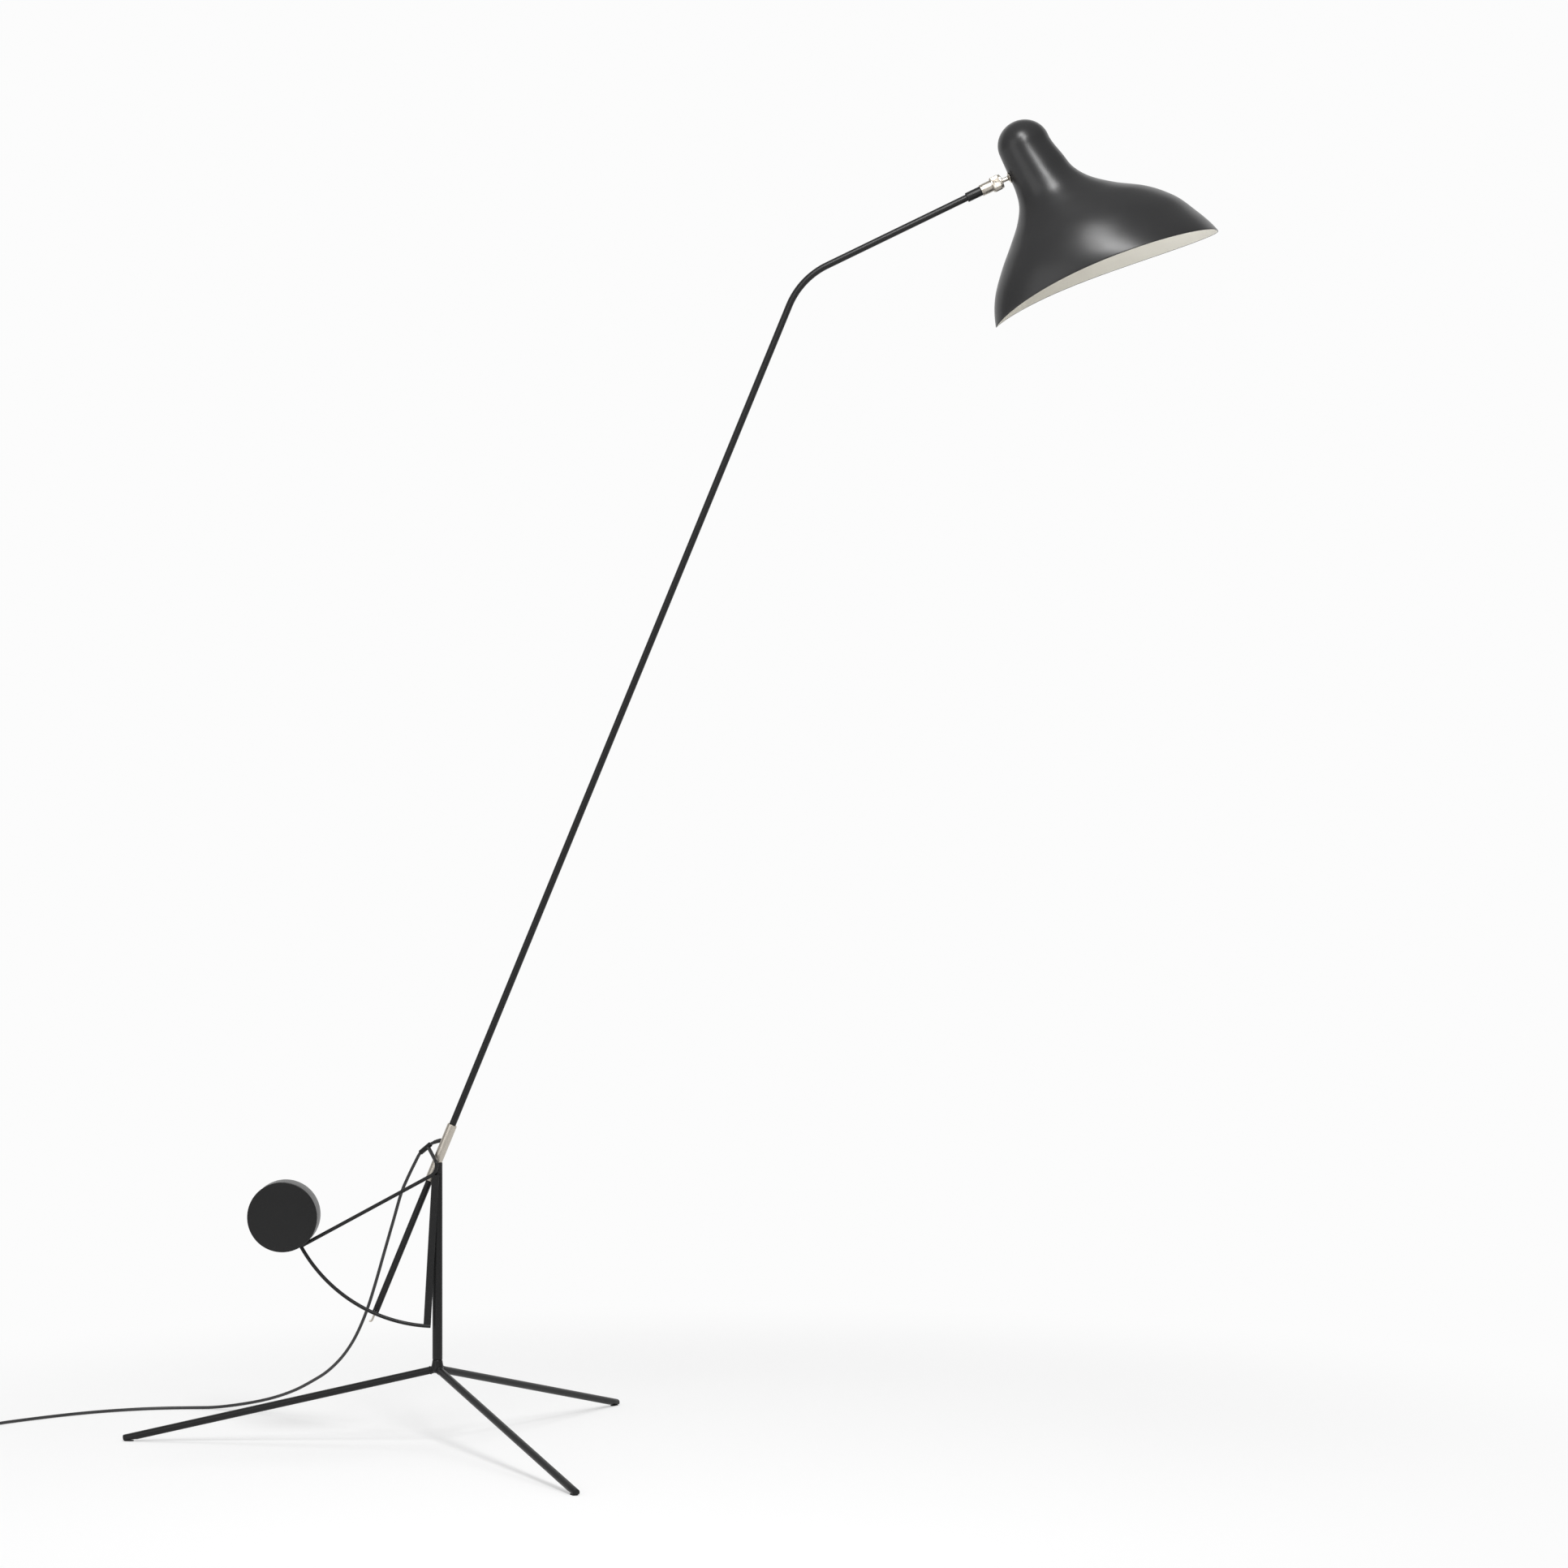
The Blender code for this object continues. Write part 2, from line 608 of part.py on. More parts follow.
def arc_clearance(name, tilt):
    """The arc rod's outline with its gap, for what is welded against it."""
    path = arc_path(ARC_START_ANGLE - 1.0, ARC_END_ANGLE + 4.0, 32)
    return cutter(rod_mesh(name, path, ROD_RADIUS + GAP, sides=16), tilt)


def strut_target():
    return GUIDE_TOP.lerp(GUIDE_BOTTOM, STRUT_SEAT)


def bent_rod_path():
    """The spoke from the arc's corner, round the pivot and on as the guide's strut."""
    bend_start = in_frame(-9.5 * MM, -9.7 * MM)
    strut_start = in_frame(-3.0 * MM, 9.5 * MM)
    to_guide = (strut_target() - strut_start).normalized()
    spoke = Vector((math.cos(math.radians(SPOKE_ANGLE)), 0.0, math.sin(math.radians(SPOKE_ANGLE))))
    run = (bend_start - arc_point(ARC_START_ANGLE)).length + ROD_RADIUS
    bend = bezier(bend_start, bend_start + spoke * 11 * MM,
                  strut_start - to_guide * 7 * MM, strut_start, 10)
    return [bend_start - spoke * run] + bend + [strut_target()]


def make_bent_rod(tilt):
    rod = place("bent_rod", rod_mesh("bent_rod", bent_rod_path(), ROD_RADIUS, sides=12),
                tilt, black_paint())
    cut(rod, arc_clearance("spoke_cope", tilt))
    disc = cylinder_mesh("spoke_disc_cope", DISC_RADIUS + GAP, -DISC_THICKNESS, DISC_THICKNESS, 48)
    cut(rod, cutter(disc, tilt, disc_centre(), (math.pi / 2, 0.0, 0.0)))
    past_arc = box_mesh("spoke_end", (-60 * MM, -30 * MM, -60 * MM), (0.0, 30 * MM, 60 * MM))
    corner = arc_point(ARC_START_ANGLE)
    cut(rod, cutter(past_arc, tilt, corner, (0.0, -math.radians(SPOKE_ANGLE), 0.0)))
    guide = guide_outline("strut_cope", GAP)
    cut(rod, cutter(guide, tilt))
    far_side = rod_mesh("strut_end", [strut_target() + strut_heading() * 1.0 * MM,
                                      strut_target() + strut_heading() * 20 * MM],
                        8 * MM, sides=12)
    cut(rod, cutter(far_side, tilt))


def strut_heading():
    return (strut_target() - in_frame(-3.0 * MM, 9.5 * MM)).normalized()


def guide_radius():
    return CORD_DIAMETER / 2 + GAP + GUIDE_WALL


def guide_outline(name, clearance):
    along = (GUIDE_BOTTOM - GUIDE_TOP).normalized() * clearance
    return rod_mesh(name, [GUIDE_TOP - along, GUIDE_BOTTOM + along],
                    guide_radius() + clearance, sides=20)


def make_cable_guide(tilt):
    mesh = rod_mesh("cable_guide", [GUIDE_TOP, GUIDE_BOTTOM], guide_radius(), sides=20,
                    bore=CORD_DIAMETER / 2 + GAP)
    place("cable_guide", mesh, tilt, black_paint())


def make_fin(tilt):
    """The flat strip in front of the post, from the arc's end up to the bent rod."""
    across = Vector((FIN_TOP.z - FIN_FOOT.z, 0.0, FIN_FOOT.x - FIN_TOP.x)).normalized()
    across *= FIN_WIDTH / 2
    bm = bmesh.new()
    front = []
    back = []
    for corner in (FIN_FOOT - across, FIN_FOOT + across, FIN_TOP + across, FIN_TOP - across):
        front.append(bm.verts.new((corner.x, FRAME_Y - FIN_THICKNESS / 2, corner.z)))
        back.append(bm.verts.new((corner.x, FRAME_Y + FIN_THICKNESS / 2, corner.z)))
    bm.faces.new(front)
    bm.faces.new(back)
    skin(bm, front, back)
    bmesh.ops.bevel(bm, geom=bm.edges, offset=0.3 * MM, segments=1, affect="EDGES")
    fin = place("fin", mesh_from("fin", bm), tilt, black_paint())
    cut(fin, arc_clearance("fin_cope", tilt))
    outline = rod_mesh("fin_top_cope", bent_rod_path(), ROD_RADIUS + GAP, sides=16)
    cut(fin, cutter(outline, tilt))


def disc_centre():
    return arc_point(ARC_START_ANGLE) + disc_direction() * DISC_RADIUS


def make_counterweight(tilt):
    """The thick steel disc, bored from its rim for the arc rod and from behind for a screw."""
    half = DISC_THICKNESS / 2
    profile = [(0.0, -half), (DISC_RADIUS - DISC_EDGE, -half), (DISC_RADIUS, -half + DISC_EDGE),
               (DISC_RADIUS, half - DISC_EDGE), (DISC_RADIUS - DISC_EDGE, half), (0.0, half)]
    disc = place("counterweight_disc", turned_mesh("counterweight_disc", profile, 56), tilt,
                 black_paint(), disc_centre(), (math.pi / 2, 0.0, 0.0))
    mouth = arc_point(ARC_START_ANGLE)
    bore = rod_mesh("disc_bore", [mouth - disc_direction() * 4 * MM,
                                  mouth + disc_direction() * (ROD_INSERTION + GAP)],
                    ROD_RADIUS + GAP, sides=16)
    cut(disc, cutter(bore, tilt))
    grub_seat = mouth + disc_direction() * ROD_INSERTION * 0.6
    tapped = cylinder_mesh("disc_tapping", GRUB_RADIUS + GAP, 0.0, DISC_THICKNESS, 16)
    cut(disc, cutter(tapped, tilt, grub_seat, (-math.pi / 2, 0.0, 0.0)))
    grub = cylinder_mesh("disc_grub_screw", GRUB_RADIUS, 0.0, GRUB_LENGTH, 16, edge=0.3 * MM)
    place("disc_grub_screw", grub, tilt, satin_nickel(),
          grub_seat + Vector((0.0, ROD_RADIUS + GAP, 0.0)), (-math.pi / 2, 0.0, 0.0))


def make_pivot_pin(tilt):
    """The stepped pin: welded to the bent rod in front and to the sleeve behind."""
    shoulder_start = HEAD_REAR_FACE + GAP
    front = FRAME_Y
    back = ARM_Y
    profile = [(0.0, front), (PIVOT_PIN_RADIUS, front), (PIVOT_PIN_RADIUS, shoulder_start),
               (PIVOT_SHOULDER_RADIUS, shoulder_start), (PIVOT_SHOULDER_RADIUS, back), (0.0, back)]
    pin = place("pivot_pin", turned_mesh("pivot_pin", profile, 24), tilt, black_paint(),
                (0.0, 0.0, 0.0), (-math.pi / 2, 0.0, 0.0))
    outline = rod_mesh("pin_front_cope", bent_rod_path(), ROD_RADIUS + GAP, sides=16)
    cut(pin, cutter(outline, tilt))
    ahead = box_mesh("pin_front_end", (-8 * MM, FRAME_Y - 20 * MM, -8 * MM),
                     (8 * MM, FRAME_Y + ROD_RADIUS * 0.5, 8 * MM))
    cut(pin, cutter(ahead, tilt))
    return pin


def cope_pin_to_sleeve(pin, arm_line):
    sleeve = cylinder_mesh("pin_rear_cope", SLEEVE_DIAMETER / 2 + GAP, SLEEVE_BOTTOM, SLEEVE_TOP, 32)
    cut(pin, cutter(sleeve, arm_line))


# --- sleeve, lower tube and arm ------------------------------------------------------------

ARM_RADIUS = ARM_DIAMETER / 2
ARM_BORE = ARM_RADIUS - ARM_WALL
SLEEVE_RADIUS = SLEEVE_DIAMETER / 2
SLEEVE_BORE = ARM_RADIUS + RUNNING_GAP
OUTLET_TURN = math.radians(135)     # round the sleeve from +X, towards +Y


def arm_place():
    """Where the arm's axis passes the pivot, from the pivot."""
    return Vector((-ARM_HEADING.z * ARM_OFFSET, ARM_Y, ARM_HEADING.x * ARM_OFFSET))


def outlet_rotation():
    """Turns a cutter's Z axis out of the sleeve, to the left and back."""
    return (Matrix.Rotation(OUTLET_TURN, 4, "Z") @ Matrix.Rotation(math.pi / 2, 4, "Y")).to_euler()


def make_sleeve(arm_line):
    """The nickel sleeve in which the arm turns, with the cord's outlet in its back."""
    sleeve = ring_mesh("arm_sleeve", SLEEVE_RADIUS, SLEEVE_BORE, SLEEVE_BOTTOM, SLEEVE_TOP, 32)
    piece = place("arm_sleeve", sleeve, arm_line, satin_nickel())
    outlet = cylinder_mesh("sleeve_outlet", OUTLET_RADIUS, 0.0, 2 * SLEEVE_RADIUS, 20)
    cut(piece, cutter(outlet, arm_line, (0.0, 0.0, OUTLET_STATION), outlet_rotation()))
    tapped = cylinder_mesh("sleeve_tapping", RETAINER_RADIUS + GAP, 0.0, 2 * SLEEVE_RADIUS, 16)
    cut(piece, cutter(tapped, arm_line, (0.0, 0.0, RETAINER_STATION), (-math.pi / 2, 0.0, 0.0)))
    screw = cylinder_mesh("retaining_screw", RETAINER_RADIUS, ARM_RADIUS - 0.3 * MM,
                          SLEEVE_RADIUS + 0.4 * MM, 16, edge=0.2 * MM)
    place("retaining_screw", screw, arm_line, satin_nickel(),
          (0.0, 0.0, RETAINER_STATION), (-math.pi / 2, 0.0, 0.0))


def make_lower_tube(arm_line):
    """The tube from the sleeve down to the arc, with its plug, pin and hooked tail."""
    radius = LOWER_TUBE_DIAMETER / 2
    bore = radius - LOWER_TUBE_WALL
    tube = place("lower_tube", ring_mesh("lower_tube", radius, bore, LOWER_TUBE_BOTTOM,
                                         LOWER_TUBE_TOP, 24), arm_line, black_paint())
    hole = cylinder_mesh("lower_tube_hole", LOWER_PIN_RADIUS + GAP, -40 * MM, 40 * MM, 16)
    station = (0.0, 0.0, LOWER_PIN_STATION)
    across = (-math.pi / 2, 0.0, 0.0)
    cut(tube, cutter(hole, arm_line, station, across))

    plug_radius = bore - GAP
    plug_profile = [(0.0, LOWER_TUBE_BOTTOM), (plug_radius, LOWER_TUBE_BOTTOM),
                    (plug_radius, LOWER_TUBE_BOTTOM + 18 * MM), (0.0, LOWER_TUBE_BOTTOM + 18 * MM)]
    plug = place("lower_plug", turned_mesh("lower_plug", plug_profile, 20), arm_line,
                 satin_nickel())
    tail_path = [Vector((0.0, 0.0, LOWER_TUBE_BOTTOM + 1 * MM)),
                 Vector((0.0, 0.0, TAIL_END + 3.2 * MM)),
                 Vector((-0.4 * MM, 0.0, TAIL_END + 1.6 * MM)),
                 Vector((-1.6 * MM, 0.0, TAIL_END + 0.7 * MM)),
                 Vector((-3.2 * MM, 0.0, TAIL_END + 0.4 * MM))]
    tail = rod_mesh("plug_tail", tail_path, TAIL_RADIUS, sides=10)
    cut(plug, cutter(tail, arm_line), "UNION")
    cut(plug, cutter(hole.copy(), arm_line, station, across))

    start = FRAME_Y - ARM_Y + ROD_RADIUS + GAP
    end = radius + 0.4 * MM
    pin_profile = [(0.0, start), (LOWER_PIN_RADIUS, start), (LOWER_PIN_RADIUS, end),
                   (LOWER_PIN_RADIUS + 1.1 * MM, end), (LOWER_PIN_RADIUS + 0.6 * MM, end + 1.2 * MM),
                   (0.0, end + 1.2 * MM)]
    place("lower_pin", turned_mesh("lower_pin", pin_profile, 16), arm_line, black_paint(),
          station, across)


def make_thrust_washer(arm_line):
    """The nylon ring on the lower tube's end that the arm's foot turns on."""
    washer = ring_mesh("thrust_washer", ARM_RADIUS - 0.2 * MM, ARM_BORE + 0.1 * MM,
                       LOWER_TUBE_TOP + GAP, ARM_FOOT - GAP, 24)
    place("thrust_washer", washer, arm_line, white_nylon())


def upper_turn():
    """The angle of the bend between the long tube and the upper arm."""
    return math.pi / 2 - UPPER_ARM_RISE - ARM_LEAN


def arm_path(start, end, bend_steps, drop=0.0):
    """The arm's axis in its own frame: straight, round the bend and out along the upper arm.

    A drop gives a parallel path, nearer the tube's lower side.
    """
    turn = upper_turn()
    tangent = ARM_BEND_RADIUS * math.tan(turn / 2)
    centre = (ARM_BEND_RADIUS, ARM_CORNER - tangent)
    radius = ARM_BEND_RADIUS - drop
    bend = []
    for k in range(bend_steps + 1):
        angle = math.pi - turn * k / bend_steps
        bend.append(Vector((centre[0] + radius * math.cos(angle), 0.0,
                            centre[1] + radius * math.sin(angle))))
    heading = Vector((math.sin(turn), 0.0, math.cos(turn)))
    lower_side = Vector((heading.z, 0.0, -heading.x))
    finish_at = Vector((0.0, 0.0, ARM_CORNER)) + heading * (UPPER_ARM_LENGTH + end)
    return [Vector((drop, 0.0, start))] + bend + [finish_at + lower_side * drop]


def make_arm_tube(arm_axis):
    """The bent arm tube, grooved for the retaining screw and windowed for the cord."""
    mesh = rod_mesh("arm_tube", arm_path(ARM_FOOT, FERRULE_START + 14 * MM, 12),
                    ARM_RADIUS, sides=24, bore=ARM_BORE)
    tube = place("arm_tube", mesh, arm_axis, black_paint())
    reach = 2 * ARM_RADIUS
    window = box_mesh("arm_window", (-reach, 0.15 * MM, -WINDOW_HALF_HEIGHT),
                      (reach, reach, WINDOW_HALF_HEIGHT))
    cut(tube, cutter(window, arm_axis, (0.0, 0.0, OUTLET_STATION),
                     (0.0, 0.0, OUTLET_TURN - math.pi / 2)))
    groove = ring_mesh("arm_groove", ARM_RADIUS + 2 * MM, ARM_RADIUS - GROOVE_DEPTH,
                       RETAINER_STATION - RETAINER_RADIUS - GAP,
                       RETAINER_STATION + RETAINER_RADIUS + GAP, 24)
    cut(tube, cutter(groove, arm_axis))


def make_arm_cable(arm_axis):
    """The supply cable inside the arm, from above the outlet to the ferrule."""
    drop = ARM_BORE - CORD_DIAMETER / 2 - GAP
    path = arm_path(OUTLET_STATION + WINDOW_HALF_HEIGHT + 1 * MM, FERRULE_END - 10 * MM, 8, drop)
    place("arm_cable", rod_mesh("arm_cable", path, CORD_DIAMETER / 2, sides=6), arm_axis,
          cord_sheath())


# --- head joint ------------------------------------------------------------------------------

def make_ferrule(arm_head):
    """The black ferrule on the arm's end."""
    profile = [(ARM_RADIUS + GAP, FERRULE_START), (FERRULE_DIAMETER / 2 - 0.3 * MM, FERRULE_START),
               (FERRULE_DIAMETER / 2, FERRULE_START + 0.3 * MM), (FERRULE_DIAMETER / 2, FERRULE_END),
               (4.2 * MM, FERRULE_END), (4.2 * MM, FERRULE_START + 14 * MM + GAP),
               (ARM_RADIUS + GAP, FERRULE_START + 14 * MM + GAP)]
    place("arm_ferrule", turned_mesh("arm_ferrule", profile, 20), arm_head, black_paint())


def make_socket(roll_axis):
    """The nickel socket that turns in the ferrule and holds the ball."""
    inlet = 3.0 * MM
    spigot = 4.2 * MM - RUNNING_GAP
    start = FERRULE_END + GAP
    profile = [(inlet, start - 4.5 * MM), (spigot, start - 4.5 * MM), (spigot, start),
               (SOCKET_DIAMETER / 2 - 0.3 * MM, start), (SOCKET_DIAMETER / 2, start + 0.3 * MM),
               (SOCKET_DIAMETER / 2, SOCKET_STEP), (SOCKET_NECK_RADIUS, SOCKET_STEP),
               (SOCKET_NECK_RADIUS, SOCKET_MOUTH), (SOCKET_BORE_RADIUS, SOCKET_MOUTH),
               (SOCKET_BORE_RADIUS, SOCKET_STEP - 1.5 * MM), (inlet, SOCKET_STEP - 1.5 * MM)]
    place("socket_body", turned_mesh("socket_body", profile, 24), roll_axis, satin_nickel())

    cup = BALL_RADIUS + GAP
    back = SOCKET_STEP - 1.5 * MM + GAP
    brim = -1.2 * MM
    wall = SOCKET_BORE_RADIUS - GAP
    mouth_angle = math.asin(brim / cup)
    throat_angle = -math.acos(inlet / cup)
    hollow = arc_points((0.0, 0.0), cup, mouth_angle, throat_angle, 6)
    profile = [(inlet, back), (wall, back), (wall, brim)] + hollow[1:]
    place("ball_seat", turned_mesh("ball_seat", profile, 24), roll_axis, white_nylon())


def make_clamp_ring(ring_axis):
    """The ring that screws on the socket's neck and clamps the ball."""
    thread = SOCKET_NECK_RADIUS + RUNNING_GAP
    cup = BALL_RADIUS + 0.15 * MM
    outer = RING_DIAMETER / 2
    lip = 4.95 * MM
    seat_start = SOCKET_MOUTH + GAP
    start_angle = math.asin(seat_start / cup)
    end_angle = math.acos(lip / cup)
    seat = arc_points((0.0, 0.0), cup, start_angle, end_angle, 4)
    nose = arc_points((outer - 2.4 * MM, RING_FRONT - 2.4 * MM), 2.4 * MM, 0.0, math.pi / 2, 5)
    back = SOCKET_STEP + GAP
    profile = ([(thread, back), (outer - 0.5 * MM, back), (outer, back + 0.5 * MM)] + nose
               + [(6.6 * MM, RING_FRONT)] + seat[::-1] + [(thread, seat_start)])
    place("clamp_ring", turned_mesh("clamp_ring", profile, 24), ring_axis, satin_nickel())


def make_ball_stud(nod_axis):
    """The ball and its hollow stem, turned in one, with a threaded end in the shade."""
    bore = STUD_BORE
    start_angle = -math.acos(bore / BALL_RADIUS)
    end_angle = math.acos(STEM_RADIUS / BALL_RADIUS)
    ball = arc_points((0.0, 0.0), BALL_RADIUS, start_angle, end_angle, 9)
    profile = ball + [(STEM_RADIUS, STEM_SHOULDER), (STUD_RADIUS, STEM_SHOULDER),
                      (STUD_RADIUS, STUD_END), (bore, STUD_END)]
    place("ball_stud", turned_mesh("ball_stud", profile, 20), nod_axis, satin_nickel())


# --- shade, in the frame of the stem: Z along the stem, X down the shade -----------------------

def shade_section(depth):
    """Left edge, right edge and half depth of the shade's outside at a depth below the stem."""
    first = SHADE_SECTIONS[0]
    top = first[0] * MM
    if depth <= top:
        share = min(1.0, (top - depth) / DOME_HEIGHT)
        spread = math.sqrt(max(0.0, 1.0 - share * share))
        middle = (first[1] + first[2]) / 2 * MM
        half = (first[2] - first[1]) / 2 * MM * spread
        return middle - half, middle + half, first[3] * MM * spread
    rows = SHADE_SECTIONS
    index = 0
    while index < len(rows) - 2 and rows[index + 1][0] * MM < depth:
        index += 1
    low = rows[index]
    high = rows[index + 1]
    span = high[0] - low[0]
    t = (depth / MM - low[0]) / span
    values = []
    for column in (1, 2, 3):
        slope_low = row_slope(index, column)
        slope_high = row_slope(index + 1, column)
        value = ((2 * t ** 3 - 3 * t ** 2 + 1) * low[column]
                 + (t ** 3 - 2 * t ** 2 + t) * span * slope_low
                 + (-2 * t ** 3 + 3 * t ** 2) * high[column]
                 + (t ** 3 - t ** 2) * span * slope_high)
        values.append(value * MM)
    return tuple(values)


def row_slope(index, column):
    """The slope that a smooth curve through the section rows has at one of them."""
    rows = SHADE_SECTIONS
    if index == 0:
        return 0.0
    if index == len(rows) - 1:
        before, last = rows[-2], rows[-1]
        return (last[column] - before[column]) / (last[0] - before[0]) * 0.6
    before = rows[index - 1]
    here = rows[index]
    after = rows[index + 1]
    step_in = here[0] - before[0]
    step_out = after[0] - here[0]
    slope_in = (here[column] - before[column]) / step_in
    slope_out = (after[column] - here[column]) / step_out
    return (slope_in * step_out + slope_out * step_in) / (step_in + step_out)


def shade_point(depth, angle, inset):
    """A point of the shade's skin; angle runs round it from its front tip."""
    left, right, half_depth = shade_section(depth)
    left += inset
    right -= inset
    half_depth = max(half_depth - inset, 0.0)
    middle = (left + right) / 2
    half = max((right - left) / 2, 0.0)
    along = math.cos(angle)
    across = math.sin(angle)
    rim = SHADE_SECTIONS[-1][0] * MM
    share = max(0.0, depth / rim) ** 2
    saddle = SADDLE_RISE * share * abs(across) ** 1.5 * (1.0 - SADDLE_SKEW * along)
    skew = 1.0 + MOUTH_SKEW * share * along
    return Vector((depth - saddle, half_depth * across * skew,
                   SHADE_NECK_SIDE + middle + half * along))


def shade_depths(rows):
    """Depths of the loft's rows: close together on the dome, even below it."""
    dome_top = SHADE_SECTIONS[0][0] * MM
    rim = SHADE_SECTIONS[-1][0] * MM
    dome_rows = 5
    depths = []
    for k in range(1, dome_rows):
        depths.append(dome_top - DOME_HEIGHT * math.cos(math.pi / 2 * k / dome_rows))
    below = rows - len(depths)
    for k in range(below):
        depths.append(dome_top + (rim - dome_top) * k / (below - 1))
    return depths


def shade_skin(bm, inset, apex_inset):
    """One side of the shade wall: loops from the dome to the rim, and the dome's apex."""
    loops = []
    for depth in shade_depths(SHADE_ROWS):
        loop = []
        for k in range(SHADE_AROUND):
            loop.append(bm.verts.new(shade_point(depth, math.tau * k / SHADE_AROUND, inset)))
        loops.append(loop)
    for first, second in zip(loops, loops[1:]):
        skin(bm, first, second)
    first = SHADE_SECTIONS[0]
    apex = bm.verts.new((first[0] * MM - DOME_HEIGHT + apex_inset, 0.0,
                         SHADE_NECK_SIDE + (first[1] + first[2]) / 2 * MM))
    for k in range(SHADE_AROUND):
        bm.faces.new((apex, loops[0][k], loops[0][(k + 1) % SHADE_AROUND]))
    return loops[-1]


def make_shade(spin_axis):
    """The spun aluminium shade, open at its saddle-shaped mouth."""
    bm = bmesh.new()
    outer_rim = shade_skin(bm, 0.0, 0.0)
    inner_rim = shade_skin(bm, SHADE_WALL, SHADE_WALL)
    skin(bm, outer_rim, inner_rim)
    shade = place("shade", mesh_from("shade", bm), spin_axis, shade_paint())
    hole = cylinder_mesh("shade_hole", STUD_RADIUS + GAP, 0.0, SHADE_NECK_SIDE + 12 * MM, 20)
    cut(shade, cutter(hole, spin_axis))


def make_shade_washer(spin_axis):
    """The flared nickel washer between the stem's shoulder and the shade."""
    face = SHADE_NECK_SIDE - GAP
    root = STEM_SHOULDER + GAP
    bore = STUD_RADIUS + GAP
    profile = [(bore, root), (STEM_RADIUS + 0.6 * MM, root), (STEM_RADIUS + 1.6 * MM, root + 0.9 * MM),
               (WASHER_RADIUS, face - 0.5 * MM), (WASHER_RADIUS, face), (bore, face)]
    place("shade_washer", turned_mesh("shade_washer", profile, 20), spin_axis, satin_nickel())


def make_holder_bracket(spin_axis):
    """The bent steel strip that hangs the lampholder from the stud."""
    near = bracket_face()
    far = near + BRACKET_THICKNESS
    half = BRACKET_WIDTH / 2
    low = BRACKET_DROP
    shelf = low - BRACKET_THICKNESS
    centre = SHADE_NECK_SIDE + HOLDER_AXIS
    collar = HOLDER_RADIUS + 3.5 * MM
    opened = math.asin(half / collar)
    rim = arc_points((centre, 0.0), collar, opened - math.pi, math.pi - opened, 25)
    outline = [(far, -half)] + rim + [(far, half)]
    strip = [(near, half), (near, -half)]
    bm = bmesh.new()
    lower = [bm.verts.new((low, y, z)) for z, y in outline + strip]
    upper = [bm.verts.new((shelf, y, z)) for z, y in outline + strip]
    bm.faces.new(lower)
    bm.faces.new(upper[:-2])
    skin(bm, lower, upper)
    top = [bm.verts.new((-half, y, z)) for z, y in [outline[-1]] + strip + [outline[0]]]
    skin(bm, [upper[-3], upper[-2], upper[-1], upper[0]], top)
    bm.faces.new(top)
    bracket = place("holder_bracket", mesh_from("holder_bracket", bm), spin_axis, satin_nickel())
    opening = cylinder_mesh("bracket_opening", HOLDER_RADIUS + GAP, 0.0, 2 * low, 28)
    cut(bracket, cutter(opening, spin_axis, (0.0, 0.0, centre), (0.0, math.pi / 2, 0.0)))
    stud_hole = cylinder_mesh("bracket_hole", STUD_RADIUS + GAP, 0.0, far + 2 * MM, 16)
    cut(bracket, cutter(stud_hole, spin_axis))


def bracket_face():
    """Where the bracket's upright starts, from the ball: its edges seat inside the neck."""
    left, right, half_depth = shade_section(0.0)
    half = (right - left) / 2
    share = BRACKET_WIDTH / 2 / half_depth
    hollow = half * (1.0 - math.sqrt(1.0 - share * share))
    facet = half * (1.0 - math.cos(math.pi / SHADE_AROUND))
    return SHADE_NECK_SIDE + SHADE_WALL + hollow + facet + GAP


def make_stud_nut(spin_axis):
    """The hexagon nut inside the shade that clamps bracket, shade and washer to the stud."""
    start = bracket_face() + BRACKET_THICKNESS + GAP
    end = start + 3.6 * MM
    bore = STUD_RADIUS + GAP
    across_corners = 4.6 * MM
    profile = [(bore, start), (across_corners, start), (across_corners, end), (bore, end)]
    place("stud_nut", turned_mesh("stud_nut", profile, 6 * 4), spin_axis, satin_nickel())


def make_lampholder(spin_axis):
    """The lampholder: a shell with a threaded well for the bulb's cap."""
    well = 13.6 * MM
    floor = HOLDER_BOTTOM - 26 * MM
    shoulder = BRACKET_DROP - BRACKET_THICKNESS - GAP
    top = HOLDER_TOP
    profile = [(0.0, top), (HOLDER_RADIUS - 6 * MM, top), (HOLDER_RADIUS - 3 * MM, top + 2 * MM),
               (HOLDER_RADIUS - 2 * MM, top + 16 * MM), (HOLDER_RADIUS, top + 18 * MM),
               (HOLDER_RADIUS + 2.2 * MM, shoulder - 2 * MM), (HOLDER_RADIUS + 2.2 * MM, shoulder),
               (HOLDER_RADIUS - GAP, shoulder), (HOLDER_RADIUS - GAP, BRACKET_DROP + 4 * MM),
               (well, BRACKET_DROP + 4 * MM), (well, floor), (0.0, floor)]
    place("lampholder", turned_mesh("lampholder", profile, 28), spin_axis, porcelain(),
          (0.0, 0.0, SHADE_NECK_SIDE + HOLDER_AXIS), (0.0, math.pi / 2, 0.0))


